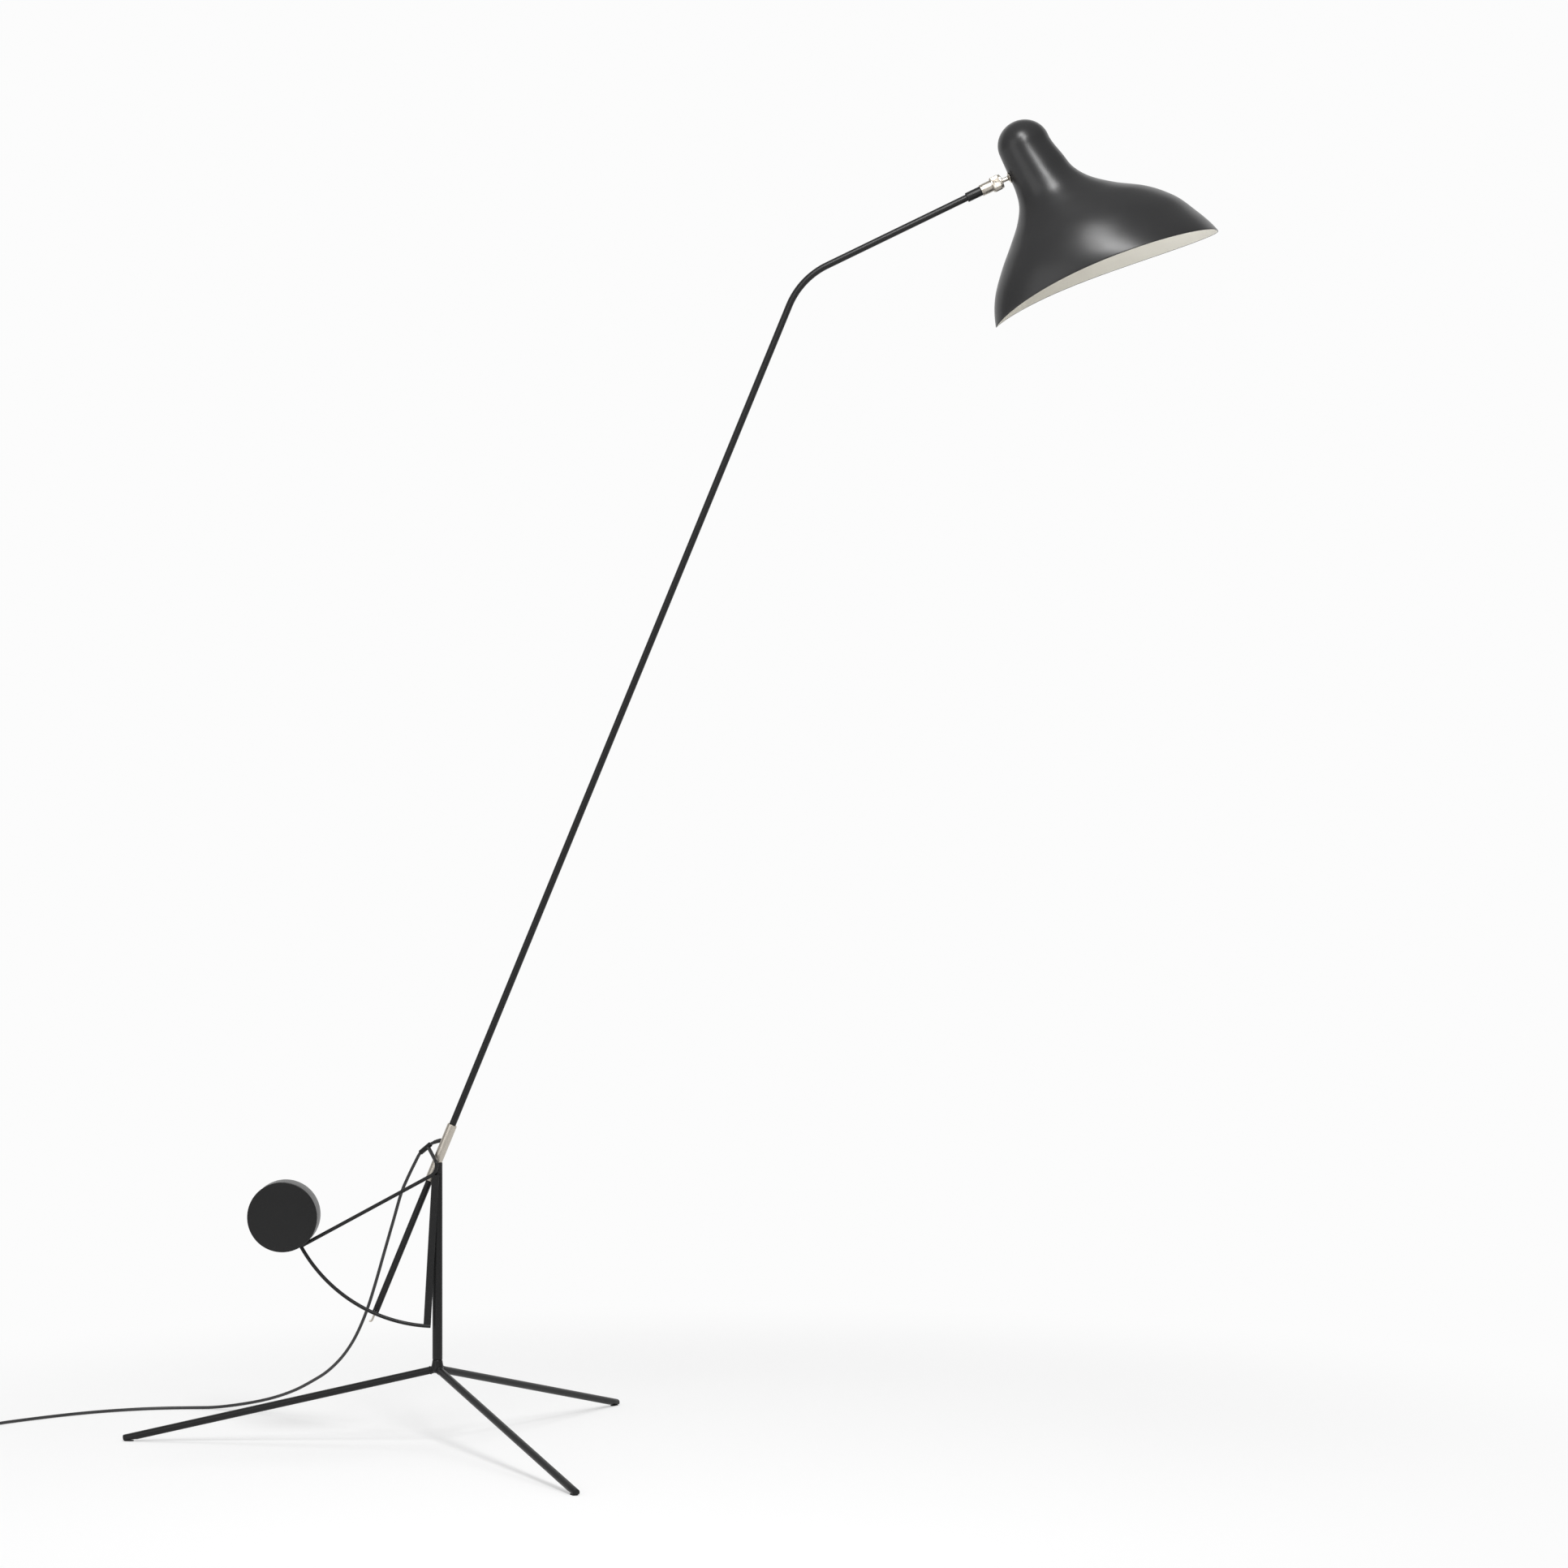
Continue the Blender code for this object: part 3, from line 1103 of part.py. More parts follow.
def make_bulb(spin_axis):
    """A round opal bulb screwed into the lampholder."""
    cap = 13.0 * MM
    foot = HOLDER_BOTTOM - 26 * MM + GAP
    mouth = BRACKET_DROP + 5 * MM
    centre = mouth + BULB_LENGTH - BULB_RADIUS
    globe = arc_points((0.0, centre), BULB_RADIUS, math.radians(-38), math.pi / 2, 10)
    profile = [(0.0, foot), (cap - 5 * MM, foot), (cap, foot + 4 * MM), (cap, mouth),
               (cap + 2.0 * MM, mouth + 6 * MM)] + globe[:-1] + [(0.0, centre + BULB_RADIUS)]
    place("bulb", turned_mesh("bulb", profile, 24), spin_axis, opal_glass(),
          (0.0, 0.0, SHADE_NECK_SIDE + HOLDER_AXIS), (0.0, math.pi / 2, 0.0))


def make_head_leads(spin_axis):
    """The cores from the hollow stud, up beside the lampholder and into its top."""
    centre = SHADE_NECK_SIDE + HOLDER_AXIS
    lane = STUD_END + 3.6 * MM
    mouth = Vector((0.0, 0.0, STUD_END + 0.4 * MM))
    beside = Vector((-9 * MM, 0.0, lane))
    turn = bezier(mouth, Vector((0.0, 0.0, lane)), Vector((-3 * MM, 0.0, lane)), beside, 6)
    over = [beside, Vector((HOLDER_TOP + 18 * MM, 0.0, lane)),
            Vector((HOLDER_TOP + 5 * MM, 0.0, lane + 1 * MM)),
            Vector((HOLDER_TOP - 3.5 * MM, 0.0, lane + 6 * MM)),
            Vector((HOLDER_TOP - 6.5 * MM, 0.0, lane + 11.5 * MM)),
            Vector((HOLDER_TOP - 5 * MM, 0.0, centre - 8 * MM)),
            Vector((HOLDER_TOP - GAP, 0.0, centre - 6.5 * MM))]
    path = [Vector((0.0, 0.0, 2 * MM))] + turn + smooth_curve(over, 3)[1:]
    place("head_leads", rod_mesh("head_leads", path, STUD_BORE - GAP, sides=6), spin_axis,
          cord_sheath())


# --- supply cord ---------------------------------------------------------------------------

def cord_route():
    return smooth_curve([Vector(point) * MM + Vector((0.0, ARM_Y, 0.0)) for point in CORD_ROUTE])


def make_cord_relief(tilt, pivot):
    """The rubber relief that grips the cord where it leaves the sleeve, tapering to it."""
    dense = cord_route()
    path = [point - pivot for point in stretch_of(dense, 0.0, RELIEF_LENGTH, 2.0 * MM)]
    frame = Matrix.Translation(arm_place()) @ Matrix.Rotation(ARM_LEAN, 4, "Y")
    outward = frame.to_3x3() @ (outlet_rotation().to_matrix() @ Vector((0.0, 0.0, 1.0)))
    axis_point = frame @ Vector((0.0, 0.0, OUTLET_STATION))
    wall = [axis_point + outward * (SLEEVE_BORE + 0.5 * MM),
            axis_point + outward * (SLEEVE_RADIUS + GAP),
            axis_point + outward * (SLEEVE_RADIUS + GAP + 0.3 * MM)]
    neck = OUTLET_RADIUS - GAP
    flange = OUTLET_RADIUS + 0.2 * MM
    thin = CORD_DIAMETER / 2 + 0.25 * MM
    taper = len(path) - 1
    radii = [neck, neck, flange] + [flange + (thin - flange) * (k + 1) / taper
                                    for k in range(taper)]
    place("cord_relief", rod_mesh("cord_relief", wall + path[1:], radii, sides=12), tilt,
          black_rubber())


def make_cord(lamp, tilt, pivot):
    """The cord's lead on the tilting frame, and its run from there to the coil."""
    dense = cord_route()
    radius = CORD_DIAMETER / 2
    lead_end = RELIEF_LENGTH + LEAD_LENGTH
    lead = stretch_of(dense, RELIEF_LENGTH + CORD_GAP, lead_end, CORD_SPACING / 3)
    place("cord_lead", cord_curve("cord_lead", [p - pivot for p in lead], radius, 2), tilt,
          cord_sheath())
    run = stretch_of(dense, lead_end + CORD_GAP, math.inf, CORD_SPACING)
    place("cord_run", cord_curve("cord_run", run, radius, 2), lamp, cord_sheath())


def make_coil(lamp):
    """The outer shape of the wound cord, its tie, its tail and the plug beside it."""
    rise = 0.3 * MM + 0.8 * MM + GAP
    corner = 3.0 * MM
    inner = COIL_RADIUS - COIL_WIDTH / 2
    outer = COIL_RADIUS + COIL_WIDTH / 2
    top = rise + COIL_HEIGHT
    profile = [(inner, rise + corner), (inner + corner, rise), (outer - corner, rise),
               (outer, rise + corner), (outer, top - corner), (outer - corner, top),
               (inner + corner, top), (inner, top - corner)]
    place("cord_coil", turned_mesh("cord_coil", profile, 32), lamp, cord_sheath(), COIL_CENTRE)

    tie_angle = math.radians(40)
    strap = 0.8 * MM
    half_width = 4.0 * MM
    tie = box_mesh("cord_tie", (inner - strap - GAP, -half_width, rise - strap - GAP),
                   (outer + strap + GAP, half_width, top + strap + GAP))
    piece = place("cord_tie", tie, lamp, black_rubber(), COIL_CENTRE, (0.0, 0.0, tie_angle))
    hollow = turned_mesh("tie_hollow", [(inner - GAP, rise - GAP), (outer + GAP, rise - GAP),
                                        (outer + GAP, top + GAP), (inner - GAP, top + GAP)], 64)
    cut(piece, cutter(hollow, lamp, COIL_CENTRE))


def make_plug(lamp):
    """A flat two-pin plug lying beside the coil, at the end of the cord's tail."""
    height = CORD_DIAMETER / 2 + 0.3 * MM
    lift = PLUG_HEIGHT / 2 + 0.2 * MM
    outer = COIL_RADIUS + COIL_WIDTH / 2
    first = COIL_CENTRE + Vector((-3 * MM, 0.6 * MM - outer - CORD_DIAMETER / 2, height))
    end = Vector((first.x - 25.5 * MM, first.y - TAIL_REACH, lift))
    route = [first, first + Vector((-11 * MM, -1.2 * MM, 0.0)),
             first + Vector((-19.5 * MM, -6.5 * MM, 0.8 * MM)),
             end + Vector((1 * MM, TAIL_REACH * 0.4, -1.5 * MM)), end]
    tail = stretch_of(smooth_curve(route), 0.0, math.inf, CORD_SPACING * 0.5)
    place("cord_tail", cord_curve("cord_tail", tail, CORD_DIAMETER / 2, 2), lamp, cord_sheath())

    back = end.y - GAP
    x = end.x
    collar = CORD_DIAMETER / 2 + 1.5 * MM
    half = PLUG_WIDTH / 2
    outline = [(collar, 0.0), (collar + 1 * MM, -0.25 * PLUG_LENGTH),
               (half - 2 * MM, -0.47 * PLUG_LENGTH), (half, -0.55 * PLUG_LENGTH),
               (half, 2 * MM - PLUG_LENGTH), (half - 2 * MM, -PLUG_LENGTH)]
    outline += [(-across, along) for across, along in reversed(outline)]
    bm = bmesh.new()
    low = []
    high = []
    for across, along in outline:
        thick = PLUG_HEIGHT * (0.55 if along > -0.3 * PLUG_LENGTH else 1.0)
        low.append(bm.verts.new((x + across, back + along, lift - thick / 2)))
        high.append(bm.verts.new((x + across, back + along, lift + thick / 2)))
    skin(bm, low, high)
    for loop in (low, high):
        bm.faces.new((loop[0], loop[1], loop[10], loop[11]))
        bm.faces.new((loop[1], loop[2], loop[9], loop[10]))
        bm.faces.new(loop[2:10])
    place("plug_body", mesh_from("plug_body", bm), lamp, black_rubber())
    face = back - PLUG_LENGTH
    for side, label in ((-1, "left"), (1, "right")):
        pin = cylinder_mesh("plug_pin_" + label, PLUG_PIN_RADIUS, 0.0, PLUG_PIN_LENGTH, 16,
                            edge=0.6 * MM)
        place("plug_pin_" + label, pin, lamp, satin_nickel(),
              (x + side * PLUG_PIN_SPREAD / 2, face - GAP, lift), (math.pi / 2, 0.0, 0.0))


# --- assembly --------------------------------------------------------------------------------

def stand_at_origin(lamp, cord_names):
    """Move the whole lamp so that its box, without the cord, has its bottom centre at 0."""
    bpy.context.view_layer.update()
    depsgraph = bpy.context.evaluated_depsgraph_get()
    low = Vector((math.inf,) * 3)
    high = Vector((-math.inf,) * 3)
    for piece in bpy.context.scene.objects:
        if piece.type != "MESH" or piece.hide_render or piece.name in cord_names:
            continue
        shape = piece.evaluated_get(depsgraph)
        for vertex in shape.data.vertices:
            corner = shape.matrix_world @ vertex.co
            low = Vector(map(min, low, corner))
            high = Vector(map(max, high, corner))
    lamp.location = (-(low.x + high.x) / 2, -(low.y + high.y) / 2, 0.0)
    bpy.context.view_layer.update()


def main():
    for leftover in list(bpy.data.objects):
        bpy.data.objects.remove(leftover, do_unlink=True)

    lamp = empty("lamp", None)
    make_hub(lamp)
    for name, degrees in LEG_ANGLES.items():
        make_leg(lamp, name, math.radians(degrees))
        make_foot_pad(lamp, name.replace("leg", "foot_pad"), math.radians(degrees))
    make_post(lamp)

    pivot = Vector((PIVOT_X, 0.0, PIVOT_Z))
    tilt = empty("tilt_axis", lamp, pivot)
    pin = make_pivot_pin(tilt)
    make_bent_rod(tilt)
    make_arc_rod(tilt)
    make_fin(tilt)
    make_counterweight(tilt)
    make_cable_guide(tilt)

    arm_line = empty("arm_line", tilt, arm_place(), ARM_LEAN)
    cope_pin_to_sleeve(pin, arm_line)
    make_sleeve(arm_line)
    make_lower_tube(arm_line)
    make_thrust_washer(arm_line)

    arm_axis = empty("arm_axis", arm_line)
    make_arm_tube(arm_axis)
    make_arm_cable(arm_axis)
    turn = upper_turn()
    head_at = Vector((math.sin(turn), 0.0, math.cos(turn))) * UPPER_ARM_LENGTH
    head_at.z += ARM_CORNER
    arm_head = empty("arm_head", arm_axis, head_at, turn)
    make_ferrule(arm_head)

    roll_axis = empty("roll_axis", arm_head)
    make_socket(roll_axis)
    ring_axis = empty("ring_axis", roll_axis)
    make_clamp_ring(ring_axis)
    nod_axis = empty("nod_axis", roll_axis, (0.0, 0.0, 0.0), UPPER_ARM_RISE - SHADE_RISE)
    make_ball_stud(nod_axis)

    spin_axis = empty("spin_axis", nod_axis)
    make_shade_washer(spin_axis)
    make_shade(spin_axis)
    make_holder_bracket(spin_axis)
    make_stud_nut(spin_axis)
    make_lampholder(spin_axis)
    make_bulb(spin_axis)
    make_head_leads(spin_axis)

    make_cord_relief(tilt, pivot)
    make_cord(lamp, tilt, pivot)
    make_coil(lamp)
    make_plug(lamp)
    stand_at_origin(lamp, {"cord_relief", "cord_coil", "cord_tie", "plug_body",
                           "plug_pin_left", "plug_pin_right"})


main()
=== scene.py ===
"""Looks of an adjustable arm floor lamp: its visible pieces, their finishes and a plain studio."""

import logging
import math
from dataclasses import dataclass, field
from enum import Enum
from typing import Sequence, Union

import bmesh
import bpy
from mathutils import Matrix, Vector


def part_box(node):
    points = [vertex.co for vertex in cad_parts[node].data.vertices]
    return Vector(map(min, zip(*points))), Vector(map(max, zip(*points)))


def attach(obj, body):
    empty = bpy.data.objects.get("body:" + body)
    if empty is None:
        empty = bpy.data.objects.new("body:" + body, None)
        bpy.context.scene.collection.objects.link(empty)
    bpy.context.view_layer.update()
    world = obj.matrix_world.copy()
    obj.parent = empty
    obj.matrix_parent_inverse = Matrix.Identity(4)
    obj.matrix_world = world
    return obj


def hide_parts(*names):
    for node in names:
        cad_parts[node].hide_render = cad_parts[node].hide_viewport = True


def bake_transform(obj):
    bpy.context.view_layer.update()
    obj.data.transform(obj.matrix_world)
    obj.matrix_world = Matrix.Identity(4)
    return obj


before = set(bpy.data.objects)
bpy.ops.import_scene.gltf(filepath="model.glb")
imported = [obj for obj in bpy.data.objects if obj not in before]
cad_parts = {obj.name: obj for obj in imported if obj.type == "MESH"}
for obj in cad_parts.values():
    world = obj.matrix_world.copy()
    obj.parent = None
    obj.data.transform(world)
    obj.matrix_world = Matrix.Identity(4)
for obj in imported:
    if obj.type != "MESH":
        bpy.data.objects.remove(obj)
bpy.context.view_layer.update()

MM = 0.001
log = logging.getLogger("floor_lamp")

Number = Union[int, float]
Profile = list[tuple[float, float]]


class Body(Enum):
    """The bodies that pieces ride on."""

    BASE = "base"
    FRAME = "balance_frame"
    ARM = "arm"
    SOCKET = "socket"
    RING = "clamp_ring"
    BALL = "ball"
    SHADE = "shade_head"


class Slot(Enum):
    """The record's material slots."""

    BLACK_PAINT = "black_paint"
    SHADE_PAINT = "shade_paint"
    NICKEL = "satin_nickel"
    RUBBER = "black_rubber"
    NYLON = "white_nylon"
    PORCELAIN = "porcelain"
    GLASS = "opal_glass"
    CORD = "cord_sheath"


# --- shader wiring ---------------------------------------------------------------------------


class Signal:
    """One output of a shader node, with arithmetic that adds Math nodes."""

    def __init__(self, board: "Board", socket: bpy.types.NodeSocket) -> None:
        """Keep the socket and the board that it is on."""
        self.board = board
        self.socket = socket

    def _math(self, operation: str, first: "Feed", second: "Feed") -> "Signal":
        """Add one Math node.

        Args:
            operation: the Math node's operation.
            first: its first value or signal.
            second: its second value or signal.

        Returns:
            The node's result.
        """
        return self.board.node("ShaderNodeMath", {"operation": operation}, {0: first, 1: second})

    def __add__(self, other: "Feed") -> "Signal":
        """Return self + other."""
        return self._math("ADD", self, other)

    def __radd__(self, other: "Feed") -> "Signal":
        """Return other + self."""
        return self._math("ADD", other, self)

    def __sub__(self, other: "Feed") -> "Signal":
        """Return self - other."""
        return self._math("SUBTRACT", self, other)

    def __rsub__(self, other: "Feed") -> "Signal":
        """Return other - self."""
        return self._math("SUBTRACT", other, self)

    def __mul__(self, other: "Feed") -> "Signal":
        """Return self * other."""
        return self._math("MULTIPLY", self, other)

    def __rmul__(self, other: "Feed") -> "Signal":
        """Return other * self."""
        return self._math("MULTIPLY", other, self)

    def above(self, level: float) -> "Signal":
        """Return 1 where the signal is greater than a level, and 0 elsewhere."""
        return self._math("GREATER_THAN", self, level)


Feed = Union[Signal, Number, Sequence[float]]


class Board:
    """A material's node tree, its Principled shader and the one way to add nodes."""

    def __init__(self, material: bpy.types.Material) -> None:
        """Clear the material's tree down to a Principled shader and its output."""
        material.use_nodes = True
        self.tree = material.node_tree
        self.shader = self.tree.nodes["Principled BSDF"]

    def node(self, kind: str, settings: dict[str, object], feeds: dict[Union[int, str], Feed],
             output: Union[int, str] = 0) -> Signal:
        """Add a node.

        Args:
            kind: the node's type.
            settings: its own properties, set first; "stops" are a ramp's (place, colour) pairs.
            feeds: values or signals for its inputs, by name or number.
            output: which output to return.

        Returns:
            The chosen output as a signal.
        """
        made = self.tree.nodes.new(kind)
        for name, value in settings.items():
            if name == "stops":
                ramp = made.color_ramp.elements
                while len(ramp) < len(value):
                    ramp.new(0.5)
                for element, (place, colour) in zip(ramp, value):
                    element.position = place
                    element.color = colour
            else:
                setattr(made, name, value)
        for name, value in feeds.items():
            self.feed(made.inputs[name], value)
        return Signal(self, made.outputs[output])

    def feed(self, socket: bpy.types.NodeSocket, value: Feed) -> None:
        """Link a signal to a socket, or set a plain value on it."""
        if isinstance(value, Signal):
            self.tree.links.new(value.socket, socket)
        else:
            socket.default_value = value

    def principled(self, **feeds: Feed) -> None:
        """Feed the Principled shader; Base_Color stands for Base Color, and so on."""
        for name, value in feeds.items():
            self.feed(self.shader.inputs[name.replace("_", " ")], value)

    def place(self, stretch: Sequence[float]) -> Signal:
        """Return the piece's own coordinates in metres, stretched along each axis."""
        here = self.node("ShaderNodeTexCoord", {}, {}, "Object")
        return self.node("ShaderNodeMapping", {}, {"Vector": here, "Scale": tuple(stretch)})

    def noise(self, stretch: Sequence[float], detail: float = 2.0) -> Signal:
        """Return noise from 0 to 1, its grain set by the stretch along each axis."""
        return self.node("ShaderNodeTexNoise", {"noise_dimensions": "3D"},
                         {"Vector": self.place(stretch), "Scale": 1.0, "Detail": detail,
                          "Roughness": 0.55})

    def tint(self, colour: Sequence[float], factor: Signal, other: Sequence[float]) -> Signal:
        """Return a colour that goes from one to the other with the factor."""
        return self.node("ShaderNodeMix", {"data_type": "RGBA"},
                         {0: factor, 6: (*colour, 1.0), 7: (*other, 1.0)}, 2)

    def bump(self, height: Signal, strength: float, distance: float,
             under: Union[Signal, None] = None) -> Signal:
        """Return a normal raised by a height, over another one when it is given."""
        feeds: dict[Union[int, str], Feed] = {"Height": height, "Strength": strength,
                                             "Distance": distance}
        if under is not None:
            feeds["Normal"] = under
        return self.node("ShaderNodeBump", {}, feeds)


def shade_of(colour: Sequence[float], factor: float) -> tuple[float, float, float]:
    """Return a colour made lighter or darker by a factor."""
    return tuple(min(1.0, part * factor) for part in colour)


@dataclass(frozen=True)
class Finish:
    """A finish; each kind wires its own board."""

    name: str
    slot: Slot
    colour: tuple[float, float, float]
    roughness: float

    def material(self) -> bpy.types.Material:
        """Return the finish's material, made the first time it is asked for."""
        found = bpy.data.materials.get(self.name)
        if found is None:
            found = bpy.data.materials.new(self.name)
            self.wire(Board(found))
        return found

    def wire(self, board: Board) -> None:
        """Wire the finish on its board."""
        raise NotImplementedError


@dataclass(frozen=True)
class PowderCoat(Finish):
    """Sprayed and baked paint with a fine orange peel and a few rubbed patches."""

    peel: float = 0.16
    specular: float = 0.5

    def wire(self, board: Board) -> None:
        """Wire soft patches of tone and gloss over a fine peel."""
        patches = board.noise((9.0, 9.0, 9.0), 3.0)
        grain = board.noise((620.0, 620.0, 620.0), 2.0)
        fine = board.noise((2600.0, 2600.0, 2600.0), 1.0)
        rubbed = board.noise((38.0, 38.0, 38.0), 4.0)
        colour = board.tint(shade_of(self.colour, 0.86), patches, shade_of(self.colour, 1.16))
        specks = fine.above(0.70) * 0.35
        dusted = board.node("ShaderNodeMix", {"data_type": "RGBA"},
                            {0: specks, 6: colour, 7: (*shade_of(self.colour, 1.7), 1.0)}, 2)
        gloss = rubbed * 0.10 + (self.roughness - 0.05)
        peel = board.bump(grain, self.peel, 0.00022)
        board.principled(Base_Color=dusted, Roughness=gloss, Specular_IOR_Level=self.specular,
                         Normal=board.bump(fine, self.peel * 0.5, 0.00006, peel))


@dataclass(frozen=True)
class TurnedNickel(Finish):
    """Satin nickel plate over lathe-turned metal: fine rings round each piece's own axis."""

    ring_grain: float = 1500.0

    def wire(self, board: Board) -> None:
        """Wire turning rings, a warm drift of tone and faint handling marks."""
        rings = board.noise((24.0, 24.0, self.ring_grain), 2.0)
        drift = board.noise((45.0, 45.0, 45.0), 3.0)
        colour = board.tint(shade_of(self.colour, 0.94), drift, shade_of(self.colour, 1.05))
        marks = board.noise((300.0, 300.0, 120.0), 4.0)
        gloss = rings * 0.10 + marks * 0.06 + (self.roughness - 0.08)
        board.principled(Base_Color=colour, Metallic=1.0, Roughness=gloss,
                         Normal=board.bump(rings, 0.04, 0.00003))


@dataclass(frozen=True)
class Moulded(Finish):
    """Moulded rubber, nylon or cord sheath with a fine mould grain."""

    grain: float = 0.2
    scale: float = 1500.0
    lighter: float = 1.25

    def wire(self, board: Board) -> None:
        """Wire a grain and slow patches of tone."""
        grain = board.noise((self.scale, self.scale, self.scale), 3.0)
        patches = board.noise((60.0, 60.0, 60.0), 3.0)
        colour = board.tint(shade_of(self.colour, 0.85), patches,
                            shade_of(self.colour, self.lighter))
        gloss = grain * 0.12 + (self.roughness - 0.06)
        board.principled(Base_Color=colour, Roughness=gloss,
                         Normal=board.bump(grain, self.grain, 0.00012))


@dataclass(frozen=True)
class Glazed(Finish):
    """Glazed porcelain or opal glass: smooth, faintly uneven and clear-coated."""

    coat: float = 0.5

    def wire(self, board: Board) -> None:
        """Wire a slow waviness and a faint tint."""
        wave = board.noise((55.0, 55.0, 55.0), 2.0)
        colour = board.tint(shade_of(self.colour, 0.96), wave, self.colour)
        gloss = wave * 0.05 + (self.roughness - 0.02)
        board.principled(Base_Color=colour, Roughness=gloss, Coat_Weight=self.coat,
                         Normal=board.bump(wave, 0.06, 0.0006))


BLACK = PowderCoat("satin_black_powder_coat", Slot.BLACK_PAINT, (0.0105, 0.0105, 0.0107), 0.36,
                   specular=0.24)
CHARCOAL = PowderCoat("charcoal_shade_paint", Slot.SHADE_PAINT, (0.0180, 0.0180, 0.0185), 0.30,
                      peel=0.06, specular=0.33)
CREAM = PowderCoat("cream_shade_lining", Slot.SHADE_PAINT, (0.88, 0.845, 0.77), 0.55, peel=0.10)
NICKEL = TurnedNickel("satin_nickel_turned", Slot.NICKEL, (0.54, 0.50, 0.44), 0.40)
STEEL = TurnedNickel("plated_steel_strip", Slot.NICKEL, (0.60, 0.57, 0.52), 0.34, 700.0)
RUBBER = Moulded("moulded_black_rubber", Slot.RUBBER, (0.016, 0.016, 0.016), 0.72)
NYLON = Moulded("natural_nylon", Slot.NYLON, (0.72, 0.70, 0.64), 0.45, 0.1, 900.0, 1.05)
SHEATH = Moulded("black_cord_sheath", Slot.CORD, (0.020, 0.020, 0.021), 0.46, 0.12, 2400.0)
PORCELAIN = Glazed("white_glazed_porcelain", Slot.PORCELAIN, (0.80, 0.79, 0.75), 0.22)
OPAL = Glazed("opal_white_glass", Slot.GLASS, (0.90, 0.89, 0.85), 0.16, 0.3)


# --- mesh tools --------------------------------------------------------------------------------


def filleted(profile: Profile, radius: float, count: int = 4) -> Profile:
    """Round the corners of an open outline of (radius, height) points.

    Args:
        profile: the outline; its two ends stay as they are.
        radius: the fillet's radius, kept under half of each side.
        count: points in each fillet.

    Returns:
        The rounded outline.
    """
    rounded = [profile[0]]
    for before, corner, after in zip(profile, profile[1:], profile[2:]):
        here = Vector(corner)
        back = Vector(before) - here
        ahead = Vector(after) - here
        turn = back.angle(ahead, math.pi)
        reach = min(radius / max(math.tan(turn / 2), 0.05), 0.45 * back.length,
                    0.45 * ahead.length)
        if turn > math.radians(172) or reach <= 0.0:
            rounded.append(corner)
            continue
        start = here + back.normalized() * reach
        end = here + ahead.normalized() * reach
        for step in range(count + 1):
            share = step / count
            point = start.lerp(here, share).lerp(here.lerp(end, share), share)
            rounded.append((point.x, point.y))
    return rounded + [profile[-1]]


def mesh_of(bm: bmesh.types.BMesh, name: str, sharp: float = 35.0) -> bpy.types.Mesh:
    """Turn a bmesh into a closed, smooth-shaded mesh.

    Args:
        bm: the faces; it is freed.
        name: the mesh's name.
        sharp: degrees above which an edge stays sharp.

    Returns:
        The mesh.
    """
    bmesh.ops.remove_doubles(bm, verts=bm.verts, dist=1e-7)
    bmesh.ops.recalc_face_normals(bm, faces=bm.faces)
    mesh = bpy.data.meshes.new(name)
    bm.to_mesh(mesh)
    bm.free()
    mesh.shade_smooth()
    mesh.set_sharp_from_angle(angle=math.radians(sharp))
    return mesh


def turned(name: str, profile: Profile, steps: int = 64) -> bpy.types.Mesh:
    """Spin an outline about the local Z axis; an outline off the axis closes on itself."""
    bm = bmesh.new()
    closed = profile[0][0] > 1e-9
    points = profile + [profile[0]] if closed else profile
    rings = []
    for radius, height in points:
        if radius < 1e-9:
            rings.append([bm.verts.new((0.0, 0.0, height))])
            continue
        rings.append([bm.verts.new((radius * math.cos(math.tau * k / steps),
                                    radius * math.sin(math.tau * k / steps), height))
                      for k in range(steps)])
    for low, high in zip(rings, rings[1:]):
        join_rings(bm, low, high)
    return mesh_of(bm, name)


def join_rings(bm: bmesh.types.BMesh, low: list, high: list) -> None:
    """Fill between two loops of vertices, of which one may be a single point."""
    count = max(len(low), len(high))
    if count == 1:
        return
    for k in range(count):
        corners = [low[k % len(low)], low[(k + 1) % len(low)],
                   high[(k + 1) % len(high)], high[k % len(high)]]
        bm.faces.new(list(dict.fromkeys(corners)))


def loft(bm: bmesh.types.BMesh, rings: list[list]) -> None:
    """Fill between loops of vertices in order, and close the first and the last."""
    for low, high in zip(rings, rings[1:]):
        join_rings(bm, low, high)
    bm.faces.new(rings[0])
    bm.faces.new(rings[-1])


def swept(bm: bmesh.types.BMesh, path: list[Vector], radii: Union[float, list[float]],
          sides: int) -> None:
    """Add a round bar along a path, closed at both ends.

    Args:
        bm: where the faces go.
        path: points of its centre line.
        radii: one radius, or one for each point.
        sides: vertices round it.
    """
    if isinstance(radii, float):
        radii = [radii] * len(path)
    rings = []
    side = (path[1] - path[0]).orthogonal().normalized()
    for index, (point, radius) in enumerate(zip(path, radii)):
        along = (path[min(index + 1, len(path) - 1)] - path[max(index - 1, 0)]).normalized()
        side = (side - along * side.dot(along)).normalized()
        up = along.cross(side)
        rings.append([bm.verts.new(point + radius * (side * math.cos(math.tau * k / sides)
                                                     + up * math.sin(math.tau * k / sides)))
                      for k in range(sides)])
    loft(bm, rings)


